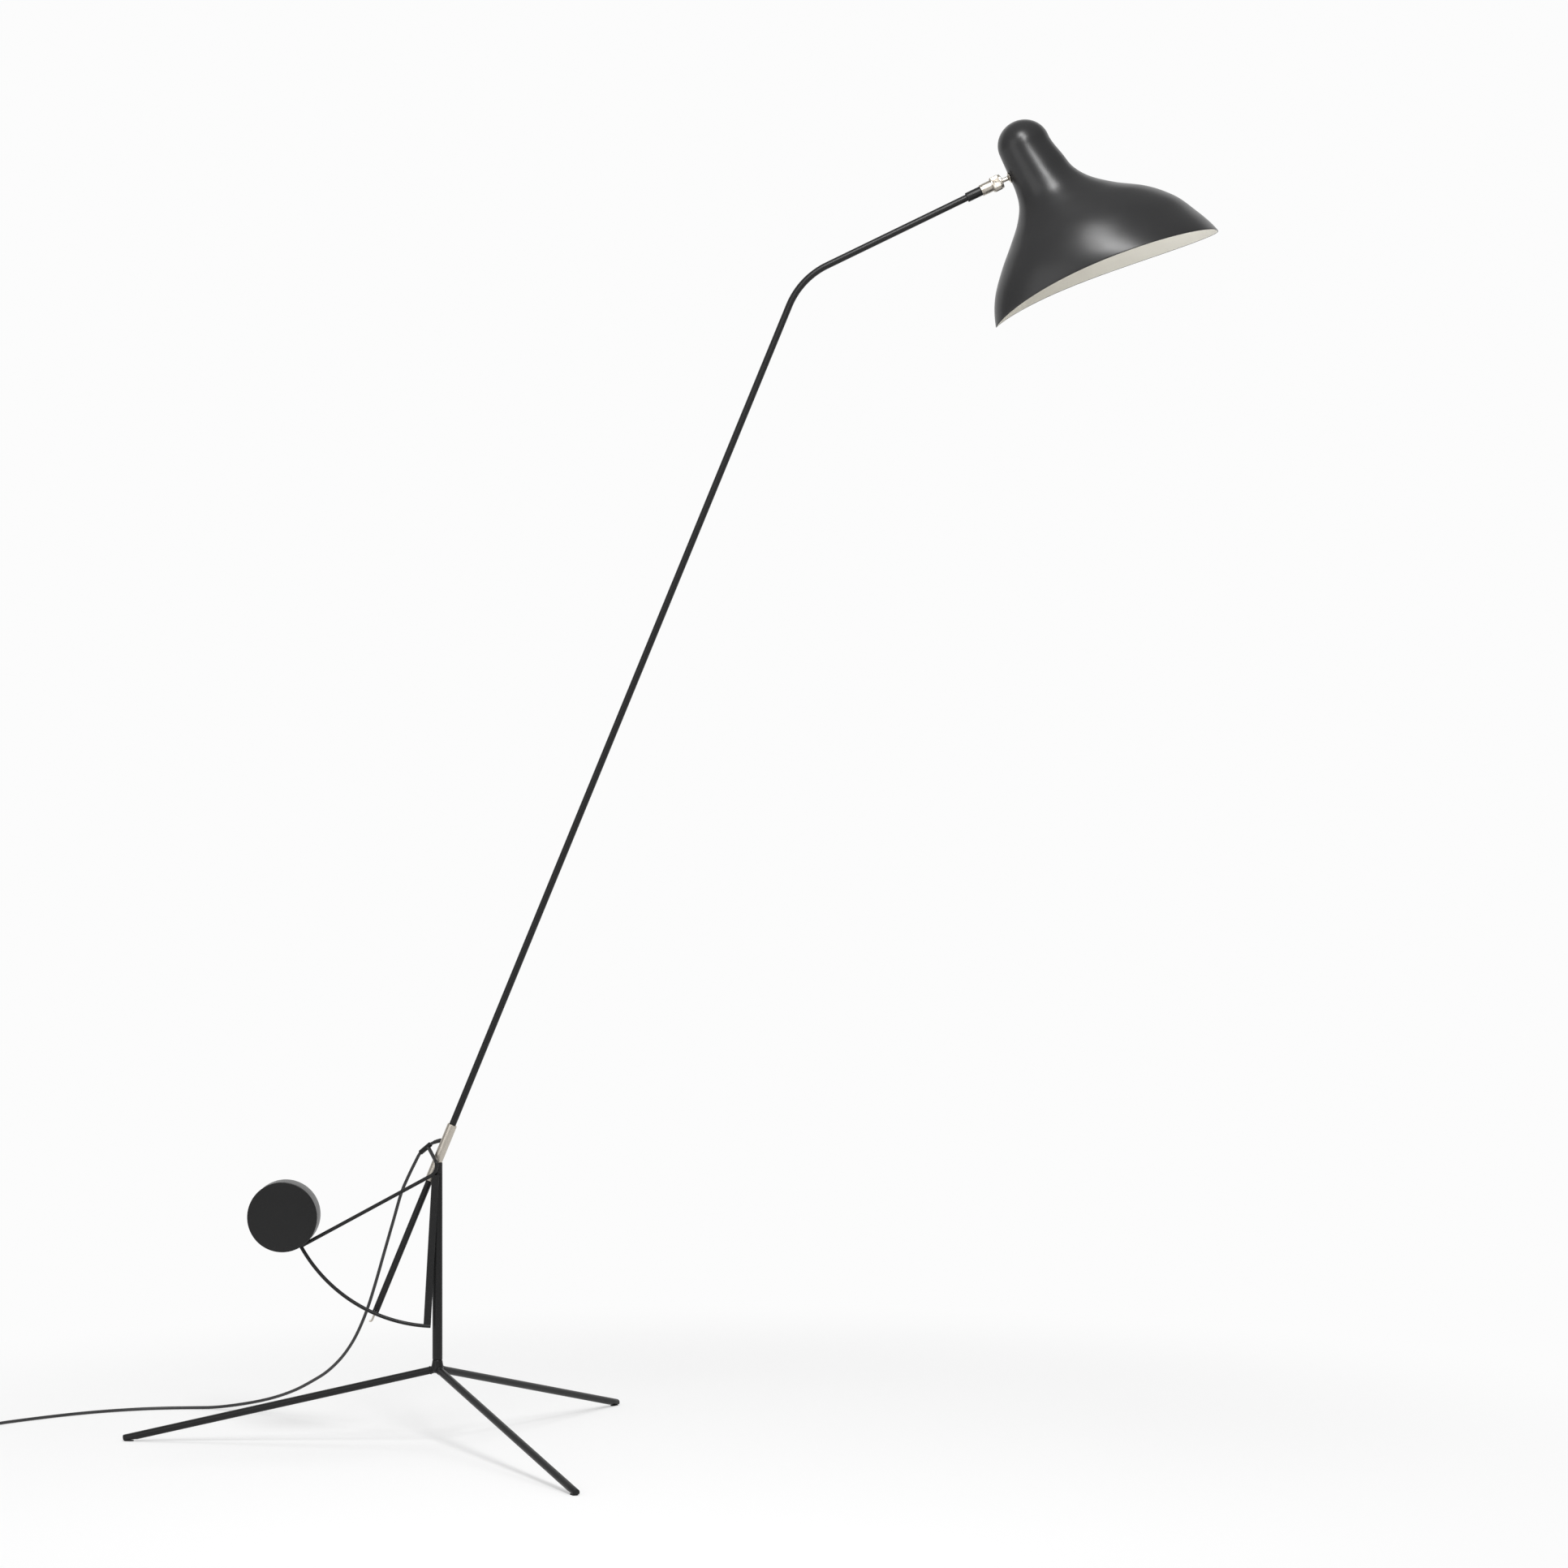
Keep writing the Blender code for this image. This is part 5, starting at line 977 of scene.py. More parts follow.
@dataclass
class BalanceFrame:
    """The rods, fin and weight that tilt on the post, with the sleeve and lower tube."""

    layout: Layout
    rod_plane: float = -9.7 * MM
    rod_radius: float = 2.4 * MM
    arc_radius: float = 200.8 * MM
    arc_centre: tuple[float, float] = (-1.5 * MM, -3.2 * MM)
    arc_start: float = 29.0
    arc_end: float = 87.7
    spoke_angle: float = 28.8
    disc_radius: float = 45.1 * MM
    disc_thickness: float = 42.0 * MM
    insertion: float = 14.0 * MM
    fin_width: float = 9.3 * MM
    fin_thickness: float = 3.0 * MM
    guide_radius: float = 3.35 * MM
    guide_bore: float = 2.4 * MM
    sleeve_radius: float = 6.25 * MM
    sleeve_bore: float = 4.5 * MM
    sleeve_ends: tuple[float, float] = (-21.5 * MM, 56.8 * MM)
    lower_radius: float = 4.3 * MM
    lower_bore: float = 3.3 * MM
    pin_station: float = -204.27 * MM

    def in_plane(self, x: float, z: float) -> Vector:
        """Return a point in the rods' plane, from the pivot."""
        return Vector((x, self.rod_plane, z))

    def on_arc(self, degrees: float) -> Vector:
        """Return a point of the arc rod's axis, its angle below level."""
        turn = math.radians(degrees)
        return self.in_plane(self.arc_centre[0] - self.arc_radius * math.cos(turn),
                             self.arc_centre[1] - self.arc_radius * math.sin(turn))

    def into_disc(self) -> Vector:
        """Return the heading from the arc's upper end to the middle of the weight."""
        turn = math.radians(self.arc_start)
        return Vector((-math.sin(turn), 0.0, math.cos(turn)))

    def guide_ends(self) -> tuple[Vector, Vector]:
        """Return the two ends of the cord guide's axis, from the pivot."""
        behind = self.layout.arm_behind
        return (Vector((-12.8 * MM, behind + 11.5 * MM, 28.1 * MM)),
                Vector((-26.3 * MM, behind + 21.0 * MM, 16.7 * MM)))

    def build(self) -> None:
        """Make every piece that tilts with the frame."""
        self.rods()
        self.fin()
        self.weight()
        self.guide()
        self.sleeve()
        self.lower_tube()
        dress("pivot_pin", BLACK)
        dress("thrust_washer", NYLON)
        dress("disc_grub_screw", NICKEL)

    def pivot_place(self) -> Matrix:
        """Return the frame's own place, at the pivot."""
        return Matrix.Translation(self.layout.pivot)

    def rods(self) -> None:
        """Make the arc, and the spoke that bends past the pivot to hold the guide."""
        inside = self.on_arc(self.arc_start) + self.into_disc() * self.insertion
        sweep = self.arc_end - self.arc_start
        arc = [inside, *[self.on_arc(self.arc_start + sweep * k / 72) for k in range(73)]]
        line, radii = domed(arc, self.rod_radius, 0.4 * MM)
        bm = bmesh.new()
        swept(bm, line, radii, 32)
        mouth = self.on_arc(self.arc_start)
        bead(bm, mouth + self.into_disc() * 0.3 * MM, self.into_disc(), self.rod_radius - 0.2 * MM,
             0.5 * MM, 5)
        put("arc_bar", mesh_of(bm, "arc_bar", 50.0), Body.FRAME, BLACK, ["arc_rod"],
            self.pivot_place())

        bend_start = self.in_plane(-9.5 * MM, -9.7 * MM)
        strut_start = self.in_plane(-3.0 * MM, 9.5 * MM)
        top, bottom = self.guide_ends()
        target = top.lerp(bottom, 0.25)
        to_guide = (target - strut_start).normalized()
        slope = math.radians(self.spoke_angle)
        spoke = Vector((math.cos(slope), 0.0, math.sin(slope)))
        corner = self.on_arc(self.arc_start)
        bend = bezier(bend_start, bend_start + spoke * 11 * MM, strut_start - to_guide * 7 * MM,
                      strut_start, 28)
        straight = [corner.lerp(bend_start, k / 12) for k in range(12)]
        end = target - to_guide * (self.guide_radius - 0.45 * MM)
        bm = bmesh.new()
        swept(bm, [*straight, *bend, end], self.rod_radius, 32)
        bead(bm, end - to_guide * 0.2 * MM, to_guide, self.rod_radius - 0.2 * MM, 0.6 * MM, 2)
        bead(bm, corner + spoke * 2.2 * MM, spoke, self.rod_radius - 0.25 * MM, 0.7 * MM, 7)
        put("spoke_bar", mesh_of(bm, "spoke_bar", 50.0), Body.FRAME, BLACK, ["bent_rod"],
            self.pivot_place())

    def fin(self) -> None:
        """Make the flat strip between the arc's end and the bent rod."""
        foot = self.in_plane(-14.0 * MM, self.arc_centre[1] - self.arc_radius + 1.4 * MM)
        top = self.in_plane(-3.1 * MM, -8.5 * MM)
        up = (top - foot).normalized()
        across = Vector((up.z, 0.0, -up.x)) * self.fin_width / 2
        deep = Vector((0.0, self.fin_thickness / 2, 0.0))
        edge = 0.45 * MM
        outline = []
        for corner_x, corner_y in ((1, 1), (-1, 1), (-1, -1), (1, -1)):
            centre = (across * corner_x * (1 - edge / across.length)
                      + deep * corner_y * (1 - edge / deep.length))
            start = {(1, 1): 0, (-1, 1): 90, (-1, -1): 180, (1, -1): 270}[corner_x, corner_y]
            for k in range(5):
                turn = math.radians(start + 22.5 * k)
                outline.append(centre + across.normalized() * edge * math.cos(turn)
                               + Vector((0.0, edge * math.sin(turn), 0.0)))
        bm = bmesh.new()
        rings = [[bm.verts.new(foot.lerp(top, share) + point) for point in outline]
                 for share in (0.0, 0.25, 0.5, 0.75, 1.0)]
        loft(bm, rings)
        put("fin_strip", mesh_of(bm, "fin_strip"), Body.FRAME, BLACK, ["fin"],
            self.pivot_place())

    def weight(self) -> None:
        """Make the turned counterweight, its edges broken by small radii."""
        half, radius = self.disc_thickness / 2, self.disc_radius
        profile = filleted([(0.0, -half), (radius, -half), (radius, half), (0.0, half)],
                           1.3 * MM, 6)
        centre = self.on_arc(self.arc_start) + self.into_disc() * radius
        mesh = turned("turned_weight", profile, 160)
        put("turned_weight", mesh, Body.FRAME, BLACK, ["counterweight_disc"],
            self.pivot_place() @ Matrix.Translation(centre) @ Matrix.Rotation(math.pi / 2, 4, "X"))

    def guide(self) -> None:
        """Make the short tube that the cord runs through, with rolled lips."""
        top, bottom = self.guide_ends()
        length = (bottom - top).length
        out, bore = self.guide_radius, self.guide_bore
        profile = filleted([(bore, length / 2), (bore, 0.0), (out, 0.0), (out, length),
                            (bore, length), (bore, length / 2 + 0.1 * MM)], 0.42 * MM, 5)
        turn = (bottom - top).to_track_quat("Z", "Y").to_matrix().to_4x4()
        put("guide_tube", turned("guide_tube", profile, 48), Body.FRAME, BLACK, ["cable_guide"],
            self.pivot_place() @ Matrix.Translation(top) @ turn)

    def sleeve(self) -> None:
        """Make the nickel sleeve and its retaining screw."""
        low, high = self.sleeve_ends
        out, bore = self.sleeve_radius, self.sleeve_bore
        profile = filleted([(bore, 0.0), (bore, low), (out, low), (out, high), (bore, high),
                            (bore, 0.1 * MM)], 0.45 * MM, 4)
        put("nickel_sleeve", turned("nickel_sleeve", profile, 96), Body.FRAME, NICKEL,
            ["arm_sleeve"], self.layout.arm.matrix())
        dress("retaining_screw", NICKEL)

    def lower_tube(self) -> None:
        """Make the tube below the sleeve, its plug with the hooked tail, and its pin."""
        place = self.layout.arm.matrix()
        low, high = self.pin_station - 3.8 * MM, -2.0 * MM
        profile = filleted([(self.lower_bore, -50 * MM), (self.lower_bore, low),
                            (self.lower_radius, low), (self.lower_radius, high),
                            (self.lower_bore, high), (self.lower_bore, -49 * MM)], 0.4 * MM)
        put("lower_arm_tube", turned("lower_arm_tube", profile, 64), Body.FRAME, BLACK,
            ["lower_tube"], place)

        plug = self.lower_bore - 0.3 * MM
        tail_end = self.pin_station - 15.4 * MM
        bm = bmesh.new()
        swept(bm, *domed([Vector((0.0, 0.0, low + 18 * MM)), Vector((0.0, 0.0, low))],
                         plug, 0.3 * MM), 40)
        hook = [Vector((0.0, 0.0, low + 1 * MM)), Vector((0.0, 0.0, tail_end + 3.6 * MM))]
        hook += [Vector((-2.0 * MM * (1 - math.cos(turn)), 0.0,
                         tail_end + 3.4 * MM - 3.0 * MM * math.sin(turn)))
                 for turn in [math.radians(80 * k / 12) for k in range(1, 13)]]
        hook.append(hook[-1] + Vector((-1.4 * MM, 0.0, -0.1 * MM)))
        swept(bm, *domed(hook, 1.3 * MM, 0.35 * MM), 24)
        put("tail_plug", mesh_of(bm, "tail_plug", 60.0), Body.FRAME, NICKEL, ["lower_plug"],
            place)

        start = self.rod_plane - self.layout.arm_behind + self.rod_radius - 0.3 * MM
        end = self.lower_radius + 0.4 * MM
        profile = filleted([(0.0, start), (1.8 * MM, start), (1.8 * MM, end), (2.9 * MM, end),
                            (2.4 * MM, end + 1.2 * MM), (0.0, end + 1.2 * MM)], 0.3 * MM)
        put("tie_pin", turned("tie_pin", profile, 40), Body.FRAME, BLACK, ["lower_pin"],
            place @ Matrix.Translation(Vector((0.0, 0.0, self.pin_station)))
            @ Matrix.Rotation(-math.pi / 2, 4, "X"))


# --- arm and ball joint -------------------------------------------------------------------------


@dataclass
class Arm:
    """The bent arm with its ferrule."""

    layout: Layout
    radius: float = 4.41 * MM
    foot: float = 0.5 * MM
    bend_radius: float = 100.0 * MM
    ferrule: tuple[float, float] = (-44.4 * MM, -24.0 * MM)
    ferrule_radius: float = 6.25 * MM

    def centre_line(self) -> list[Vector]:
        """Return the arm's axis from its foot, round the bend, into the ferrule."""
        turn, reach = self.layout.upper_turn, self.bend_radius
        start_height = self.layout.arm_corner - reach * math.tan(turn / 2)
        line = [Vector((0.0, 0.0, self.foot + (start_height - self.foot) * k / 30))
                for k in range(30)]
        for k in range(41):
            angle = turn * k / 40
            line.append(Vector((reach * (1 - math.cos(angle)), 0.0,
                                start_height + reach * math.sin(angle))))
        heading = Vector((math.sin(turn), 0.0, math.cos(turn)))
        end = (Vector((0.0, 0.0, self.layout.arm_corner))
               + heading * (self.layout.upper_length + self.ferrule[0] + 14 * MM))
        return line + [line[-1].lerp(end, k / 8) for k in range(1, 9)]

    def build(self) -> None:
        """Make the arm's tube and ferrule; the cable inside keeps its own shape."""
        bm = bmesh.new()
        swept(bm, *domed(self.centre_line(), self.radius, 0.3 * MM), 56)
        put("bent_arm_tube", mesh_of(bm, "bent_arm_tube", 50.0), Body.ARM, BLACK, ["arm_tube"],
            self.layout.arm.matrix())
        start, end = self.ferrule
        out = self.ferrule_radius
        profile = filleted([(self.radius + 0.3 * MM, start + 4 * MM),
                            (self.radius + 0.3 * MM, start), (out, start), (out, end),
                            (4.2 * MM, end), (4.2 * MM, end - 2 * MM)], 0.4 * MM)
        put("end_ferrule", turned("end_ferrule", profile, 72), Body.ARM, BLACK, ["arm_ferrule"],
            self.layout.head.matrix())
        dress("arm_cable", SHEATH)


@dataclass
class BallJoint:
    """The socket, its knurled clamp ring, the ball and the washer under the shade."""

    layout: Layout
    socket_radius: float = 7.5 * MM
    neck_radius: float = 6.9 * MM
    socket_bore: float = 6.3 * MM
    step: float = -8.7 * MM
    mouth: float = 1.6 * MM
    back: float = -23.7 * MM
    ring_radius: float = 10.0 * MM
    ring_front: float = 6.1 * MM
    knurls: int = 60
    knurl_depth: float = 0.32 * MM
    ball_radius: float = 6.0 * MM
    stem_radius: float = 2.9 * MM
    shoulder: float = 14.2 * MM
    stud_radius: float = 2.2 * MM
    stud_end: float = 25.6 * MM

    def build(self) -> None:
        """Make every piece of the joint."""
        self.socket()
        self.ring()
        self.ball()
        self.washer()
        dress("ball_seat", NYLON)

    def socket(self) -> None:
        """Make the socket with a grooved back edge."""
        out, back = self.socket_radius, self.back
        profile = filleted([
            (3.0 * MM, back + 1 * MM), (3.0 * MM, back - 4.5 * MM), (4.1 * MM, back - 4.5 * MM),
            (4.1 * MM, back), (out, back), (out, back + 1.6 * MM),
            (out - 0.35 * MM, back + 1.9 * MM), (out - 0.35 * MM, back + 2.4 * MM),
            (out, back + 2.7 * MM), (out, self.step),
            (self.neck_radius, self.step), (self.neck_radius, self.mouth),
            (self.socket_bore, self.mouth), (self.socket_bore, self.step - 1.5 * MM),
            (3.0 * MM, self.step - 1.5 * MM)], 0.3 * MM, 3)
        put("ball_socket", turned("ball_socket", profile, 96), Body.SOCKET, NICKEL,
            ["socket_body"], self.layout.head.matrix())

    def ring(self) -> None:
        """Make the clamp ring with straight knurls cut between two plain bands."""
        out, front, back = self.ring_radius, self.ring_front, self.step + 0.3 * MM
        cup, lip = self.ball_radius + 0.15 * MM, 4.95 * MM
        first, last = math.asin((self.mouth + 0.3 * MM) / cup), math.acos(lip / cup)
        seat = [(cup * math.cos(first + (last - first) * k / 8),
                 cup * math.sin(first + (last - first) * k / 8)) for k in range(9)]
        nose = [(out - 2.4 * MM + 2.4 * MM * math.cos(math.pi / 2 * k / 10),
                 front - 2.4 * MM + 2.4 * MM * math.sin(math.pi / 2 * k / 10)) for k in range(11)]
        thread = self.neck_radius + 0.09 * MM
        outside = [(thread, back), (out - 0.8 * MM, back), (out - 0.5 * MM, back + 0.3 * MM),
                   (out - 0.5 * MM, back + 1.3 * MM), (out, back + 1.9 * MM),
                   (out, (back + nose[0][1]) / 2), (out, nose[0][1] - 1.4 * MM),
                   (out - 0.5 * MM, nose[0][1] - 0.9 * MM), (out - 0.5 * MM, nose[0][1])]
        profile = outside + [(min(r, out - 0.5 * MM), z) for r, z in nose[1:]]
        profile += [(6.6 * MM, front), *reversed(seat), (thread, seat[0][1])]
        steps = self.knurls * 6
        bm = bmesh.new()
        rings = []
        for radius, height in profile:
            ring = []
            for k in range(steps):
                turn = math.tau * k / steps
                cut = 0.0
                if radius > out - 0.1 * MM:
                    cut = self.knurl_depth * (0.5 - 0.5 * math.cos(math.tau * k / 6)) ** 0.8
                ring.append(bm.verts.new(((radius - cut) * math.cos(turn),
                                          (radius - cut) * math.sin(turn), height)))
            rings.append(ring)
        for low, high in zip(rings, rings[1:] + rings[:1]):
            join_rings(bm, low, high)
        put("knurled_ring", mesh_of(bm, "knurled_ring", 28.0), Body.RING, NICKEL,
            ["clamp_ring"], self.layout.head.matrix())

    def ball(self) -> None:
        """Make the ball and its stem, turned in one."""
        bore = 1.6 * MM
        start = -math.acos(bore / self.ball_radius)
        end = math.acos(self.stem_radius / self.ball_radius)
        sphere = [(self.ball_radius * math.cos(start + (end - start) * k / 28),
                   self.ball_radius * math.sin(start + (end - start) * k / 28)) for k in range(29)]
        stem = filleted([sphere[-1], (self.stem_radius, self.shoulder),
                         (self.stud_radius, self.shoulder), (self.stud_radius, self.stud_end),
                         (bore, self.stud_end)], 0.25 * MM)
        put("ball_and_stem", turned("ball_and_stem", sphere + stem[1:], 72), Body.BALL, NICKEL,
            ["ball_stud"], self.layout.stem.matrix())

    def washer(self) -> None:
        """Make the flared washer that seats on the shade's neck."""
        face, root = self.layout.neck_side - 0.2 * MM, self.shoulder + 0.3 * MM
        bore = self.stud_radius + 0.3 * MM
        profile = filleted([(bore, face - 1 * MM), (bore, root), (3.5 * MM, root),
                            (4.5 * MM, root + 0.9 * MM), (7.3 * MM, face - 0.5 * MM),
                            (7.3 * MM, face), (bore, face), (bore, face - 0.9 * MM)], 0.4 * MM)
        put("flared_washer", turned("flared_washer", profile, 72), Body.SHADE, NICKEL,
            ["shade_washer"], self.layout.stem.matrix())


# --- shade --------------------------------------------------------------------------------------


@dataclass
class ShadeHead:
    """The saddle-rimmed shade with its lampholder, bracket and bulb."""

    layout: Layout
    wall: float = 1.2 * MM
    dome_height: float = 32.3 * MM
    saddle_rise: float = 17.0 * MM
    saddle_skew: float = 0.35
    mouth_skew: float = 0.22
    around: int = 192
    rows: int = 110
    sections: tuple[tuple[float, float, float, float], ...] = (
        (-32.0, -0.4, 67.8, 31.0), (0.0, 0.0, 75.3, 33.0), (20.0, 0.0, 81.3, 35.5),
        (40.0, -3.8, 96.5, 41.0), (60.0, -15.2, 123.0, 51.0), (80.0, -32.4, 157.1, 63.0),
        (105.0, -55.5, 185.0, 77.0), (135.0, -78.5, 204.0, 89.0), (171.5, -93.1, 220.3, 99.0))
    holder_axis: float = 37.0 * MM
    holder_radius: float = 18.0 * MM
    holder_top: float = -46.0 * MM
    holder_bottom: float = 9.0 * MM
    bracket_drop: float = 12.0 * MM
    bulb_radius: float = 30.0 * MM
    bulb_length: float = 84.0 * MM
    bore_radius: float = 2.5 * MM
    bore_depth: float = 29.0 * MM

    def slope(self, index: int, column: int) -> float:
        """Return the smooth curve's slope at one section row."""
        rows = self.sections
        if index == 0:
            return 0.0
        if index == len(rows) - 1:
            before, last = rows[-2], rows[-1]
            return (last[column] - before[column]) / (last[0] - before[0]) * 0.6
        before, here, after = rows[index - 1], rows[index], rows[index + 1]
        step_in, step_out = here[0] - before[0], after[0] - here[0]
        slope_in = (here[column] - before[column]) / step_in
        slope_out = (after[column] - here[column]) / step_out
        return (slope_in * step_out + slope_out * step_in) / (step_in + step_out)

    def section(self, depth: float) -> tuple[float, float, float]:
        """Return the left edge, right edge and half depth of the outside below the stem."""
        rows = self.sections
        top = rows[0][0] * MM
        if depth <= top:
            share = min(1.0, (top - depth) / self.dome_height)
            spread = math.sqrt(max(0.0, 1.0 - share * share))
            middle = (rows[0][1] + rows[0][2]) / 2 * MM
            half = (rows[0][2] - rows[0][1]) / 2 * MM * spread
            return middle - half, middle + half, rows[0][3] * MM * spread
        index = 0
        while index < len(rows) - 2 and rows[index + 1][0] * MM < depth:
            index += 1
        low, high = rows[index], rows[index + 1]
        span = high[0] - low[0]
        t = (depth / MM - low[0]) / span
        values = [((2 * t ** 3 - 3 * t ** 2 + 1) * low[column]
                   + (t ** 3 - 2 * t ** 2 + t) * span * self.slope(index, column)
                   + (-2 * t ** 3 + 3 * t ** 2) * high[column]
                   + (t ** 3 - t ** 2) * span * self.slope(index + 1, column)) * MM
                  for column in (1, 2, 3)]
        return values[0], values[1], values[2]

    def point(self, depth: float, angle: float, inset: float) -> Vector:
        """Return a point of the shade's skin, in the stem's frame.

        Args:
            depth: down the shade from the stem.
            angle: round the shade from its front tip.
            inset: into the wall from the outside.

        Returns:
            The point.
        """
        left, right, half_depth = self.section(depth)
        left, right = left + inset, right - inset
        half_depth = max(half_depth - inset, 0.0)
        half = max((right - left) / 2, 0.0)
        along, across = math.cos(angle), math.sin(angle)
        share = max(0.0, depth / (self.sections[-1][0] * MM)) ** 2
        saddle = self.saddle_rise * share * abs(across) ** 1.5 * (1.0 - self.saddle_skew * along)
        skew = 1.0 + self.mouth_skew * share * along
        return Vector((depth - saddle, half_depth * across * skew,
                       self.layout.neck_side + (left + right) / 2 + half * along))

    def depths(self) -> list[float]:
        """Return the rows' depths, close together near the dome's top."""
        top, rim = self.sections[0][0] * MM, self.sections[-1][0] * MM
        dome = 26
        depths = [top - self.dome_height * math.cos(math.pi / 2 * k / dome)
                  for k in range(1, dome)]
        below = self.rows - dome
        return depths + [top + (rim - top) * k / below for k in range(below + 1)]

    def shell(self) -> None:
        """Make the spun shell: charcoal outside, cream inside, with a softly turned rim."""
        bm = bmesh.new()
        rim = self.sections[-1][0] * MM
        apex_depth = self.sections[0][0] * MM - self.dome_height
        middle = self.layout.neck_side + (self.sections[0][1] + self.sections[0][2]) / 2 * MM
        skins = []
        for inset in (0.0, self.wall):
            loops = [[bm.verts.new((apex_depth + inset, 0.0, middle))]]
            for depth in self.depths():
                loops.append([bm.verts.new(self.point(depth, math.tau * k / self.around, inset))
                              for k in range(self.around)])
            skins.append(loops)
        for low, high in zip(skins[0], skins[0][1:]):
            join_rings(bm, low, high)
        outside = set(bm.faces)
        lip = [skins[0][-1]]
        for step in range(1, 6):
            turn = math.pi * step / 6
            ring = []
            for k in range(self.around):
                angle = math.tau * k / self.around
                outer, inner = self.point(rim, angle, 0.0), self.point(rim, angle, self.wall)
                centre = (outer + inner) / 2
                ring.append(bm.verts.new(centre + (outer - centre) * math.cos(turn)
                                         + Vector((0.45 * MM * math.sin(turn), 0.0, 0.0))))
            lip.append(ring)
        lip.append(skins[1][-1])
        for low, high in zip(lip, lip[1:]):
            join_rings(bm, low, high)
        outside |= set(bm.faces)
        for low, high in zip(skins[1], skins[1][1:]):
            join_rings(bm, low, high)
        for face in bm.faces:
            face.material_index = 0 if face in outside else 1
        bm.transform(self.layout.stem.matrix())
        mesh = mesh_of(bm, "spun_shade", 50.0)
        put("spun_shade", mesh, Body.SHADE, CHARCOAL, ["shade"], lining=CREAM)
        self.bore_for_stud(bpy.data.objects["spun_shade"])

    def bore_for_stud(self, shade: bpy.types.Object) -> None:
        """Bore the shade's side for the ball's stud, with a small clearance."""
        radius, depth = self.bore_radius, self.bore_depth
        drill_mesh = turned("stud_drill", [(0.0, 0.0), (radius, 0.0), (radius, depth),
                                           (0.0, depth)], 48)
        drill = linked("stud_drill", drill_mesh)
        drill.matrix_world = self.layout.stem.matrix()
        bore = shade.modifiers.new("stud_bore", "BOOLEAN")
        bore.object, bore.operation, bore.solver = drill, "DIFFERENCE", "EXACT"
        bpy.context.view_layer.update()
        evaluated = shade.evaluated_get(bpy.context.evaluated_depsgraph_get())
        bored = bpy.data.meshes.new_from_object(evaluated)
        shade.modifiers.clear()
        shade.data = bored
        bpy.data.objects.remove(drill)

    def holder(self) -> None:
        """Make the lampholder with its skirt and threaded well."""
        radius, top = self.holder_radius, self.holder_top
        well, floor = 13.6 * MM, self.holder_bottom - 26 * MM
        shoulder = self.bracket_drop - 1.8 * MM
        end = self.bracket_drop + 4 * MM
        thread = []
        for k in range(13):
            height = end - 1.2 * MM - (end - floor - 2.4 * MM) * k / 12
            thread.append((well - (0.45 * MM if k % 2 else 0.0), height))
        profile = filleted([
            (0.0, top), (radius - 6 * MM, top), (radius - 3 * MM, top + 2 * MM),
            (radius - 2 * MM, top + 16 * MM), (radius, top + 18 * MM),
            (radius + 2.2 * MM, shoulder - 2 * MM), (radius + 2.2 * MM, shoulder),
            (radius - 0.3 * MM, shoulder), (radius - 0.3 * MM, end), (well, end),
            *thread, (well, floor), (0.0, floor)], 0.8 * MM)
        place = (self.layout.stem.matrix()
                 @ Matrix.Translation(Vector((0.0, 0.0, self.layout.neck_side + self.holder_axis)))
                 @ Matrix.Rotation(math.pi / 2, 4, "Y"))
        put("glazed_lampholder", turned("glazed_lampholder", profile, 96), Body.SHADE, PORCELAIN,
            ["lampholder"], place)

        mouth = self.bracket_drop + 5 * MM
        foot = self.holder_bottom - 25.7 * MM
        centre = mouth + self.bulb_length - self.bulb_radius
        globe = [(self.bulb_radius * math.cos(turn), centre + self.bulb_radius * math.sin(turn))
                 for turn in [math.radians(-38 + 128 * k / 36) for k in range(36)]]
        profile = [(0.0, foot), (8.0 * MM, foot), (12.6 * MM, foot + 4 * MM),
                   (12.6 * MM, mouth - 2 * MM), (13.0 * MM, mouth), (13.6 * MM, mouth + 3 * MM),
                   (15.0 * MM, mouth + 6 * MM)]
        profile = filleted([*profile, globe[0]], 1.5 * MM) + globe[1:]
        profile.append((0.0, centre + self.bulb_radius))
        put("opal_bulb", turned("opal_bulb", profile, 96), Body.SHADE, OPAL, ["bulb"], place)

    def build(self) -> None:
        """Make every piece of the shade's head."""
        self.shell()
        self.holder()
        dress("holder_bracket", STEEL)
        dress("stud_nut", NICKEL)
        dress("head_leads", SHEATH)


# --- studio -------------------------------------------------------------------------------------


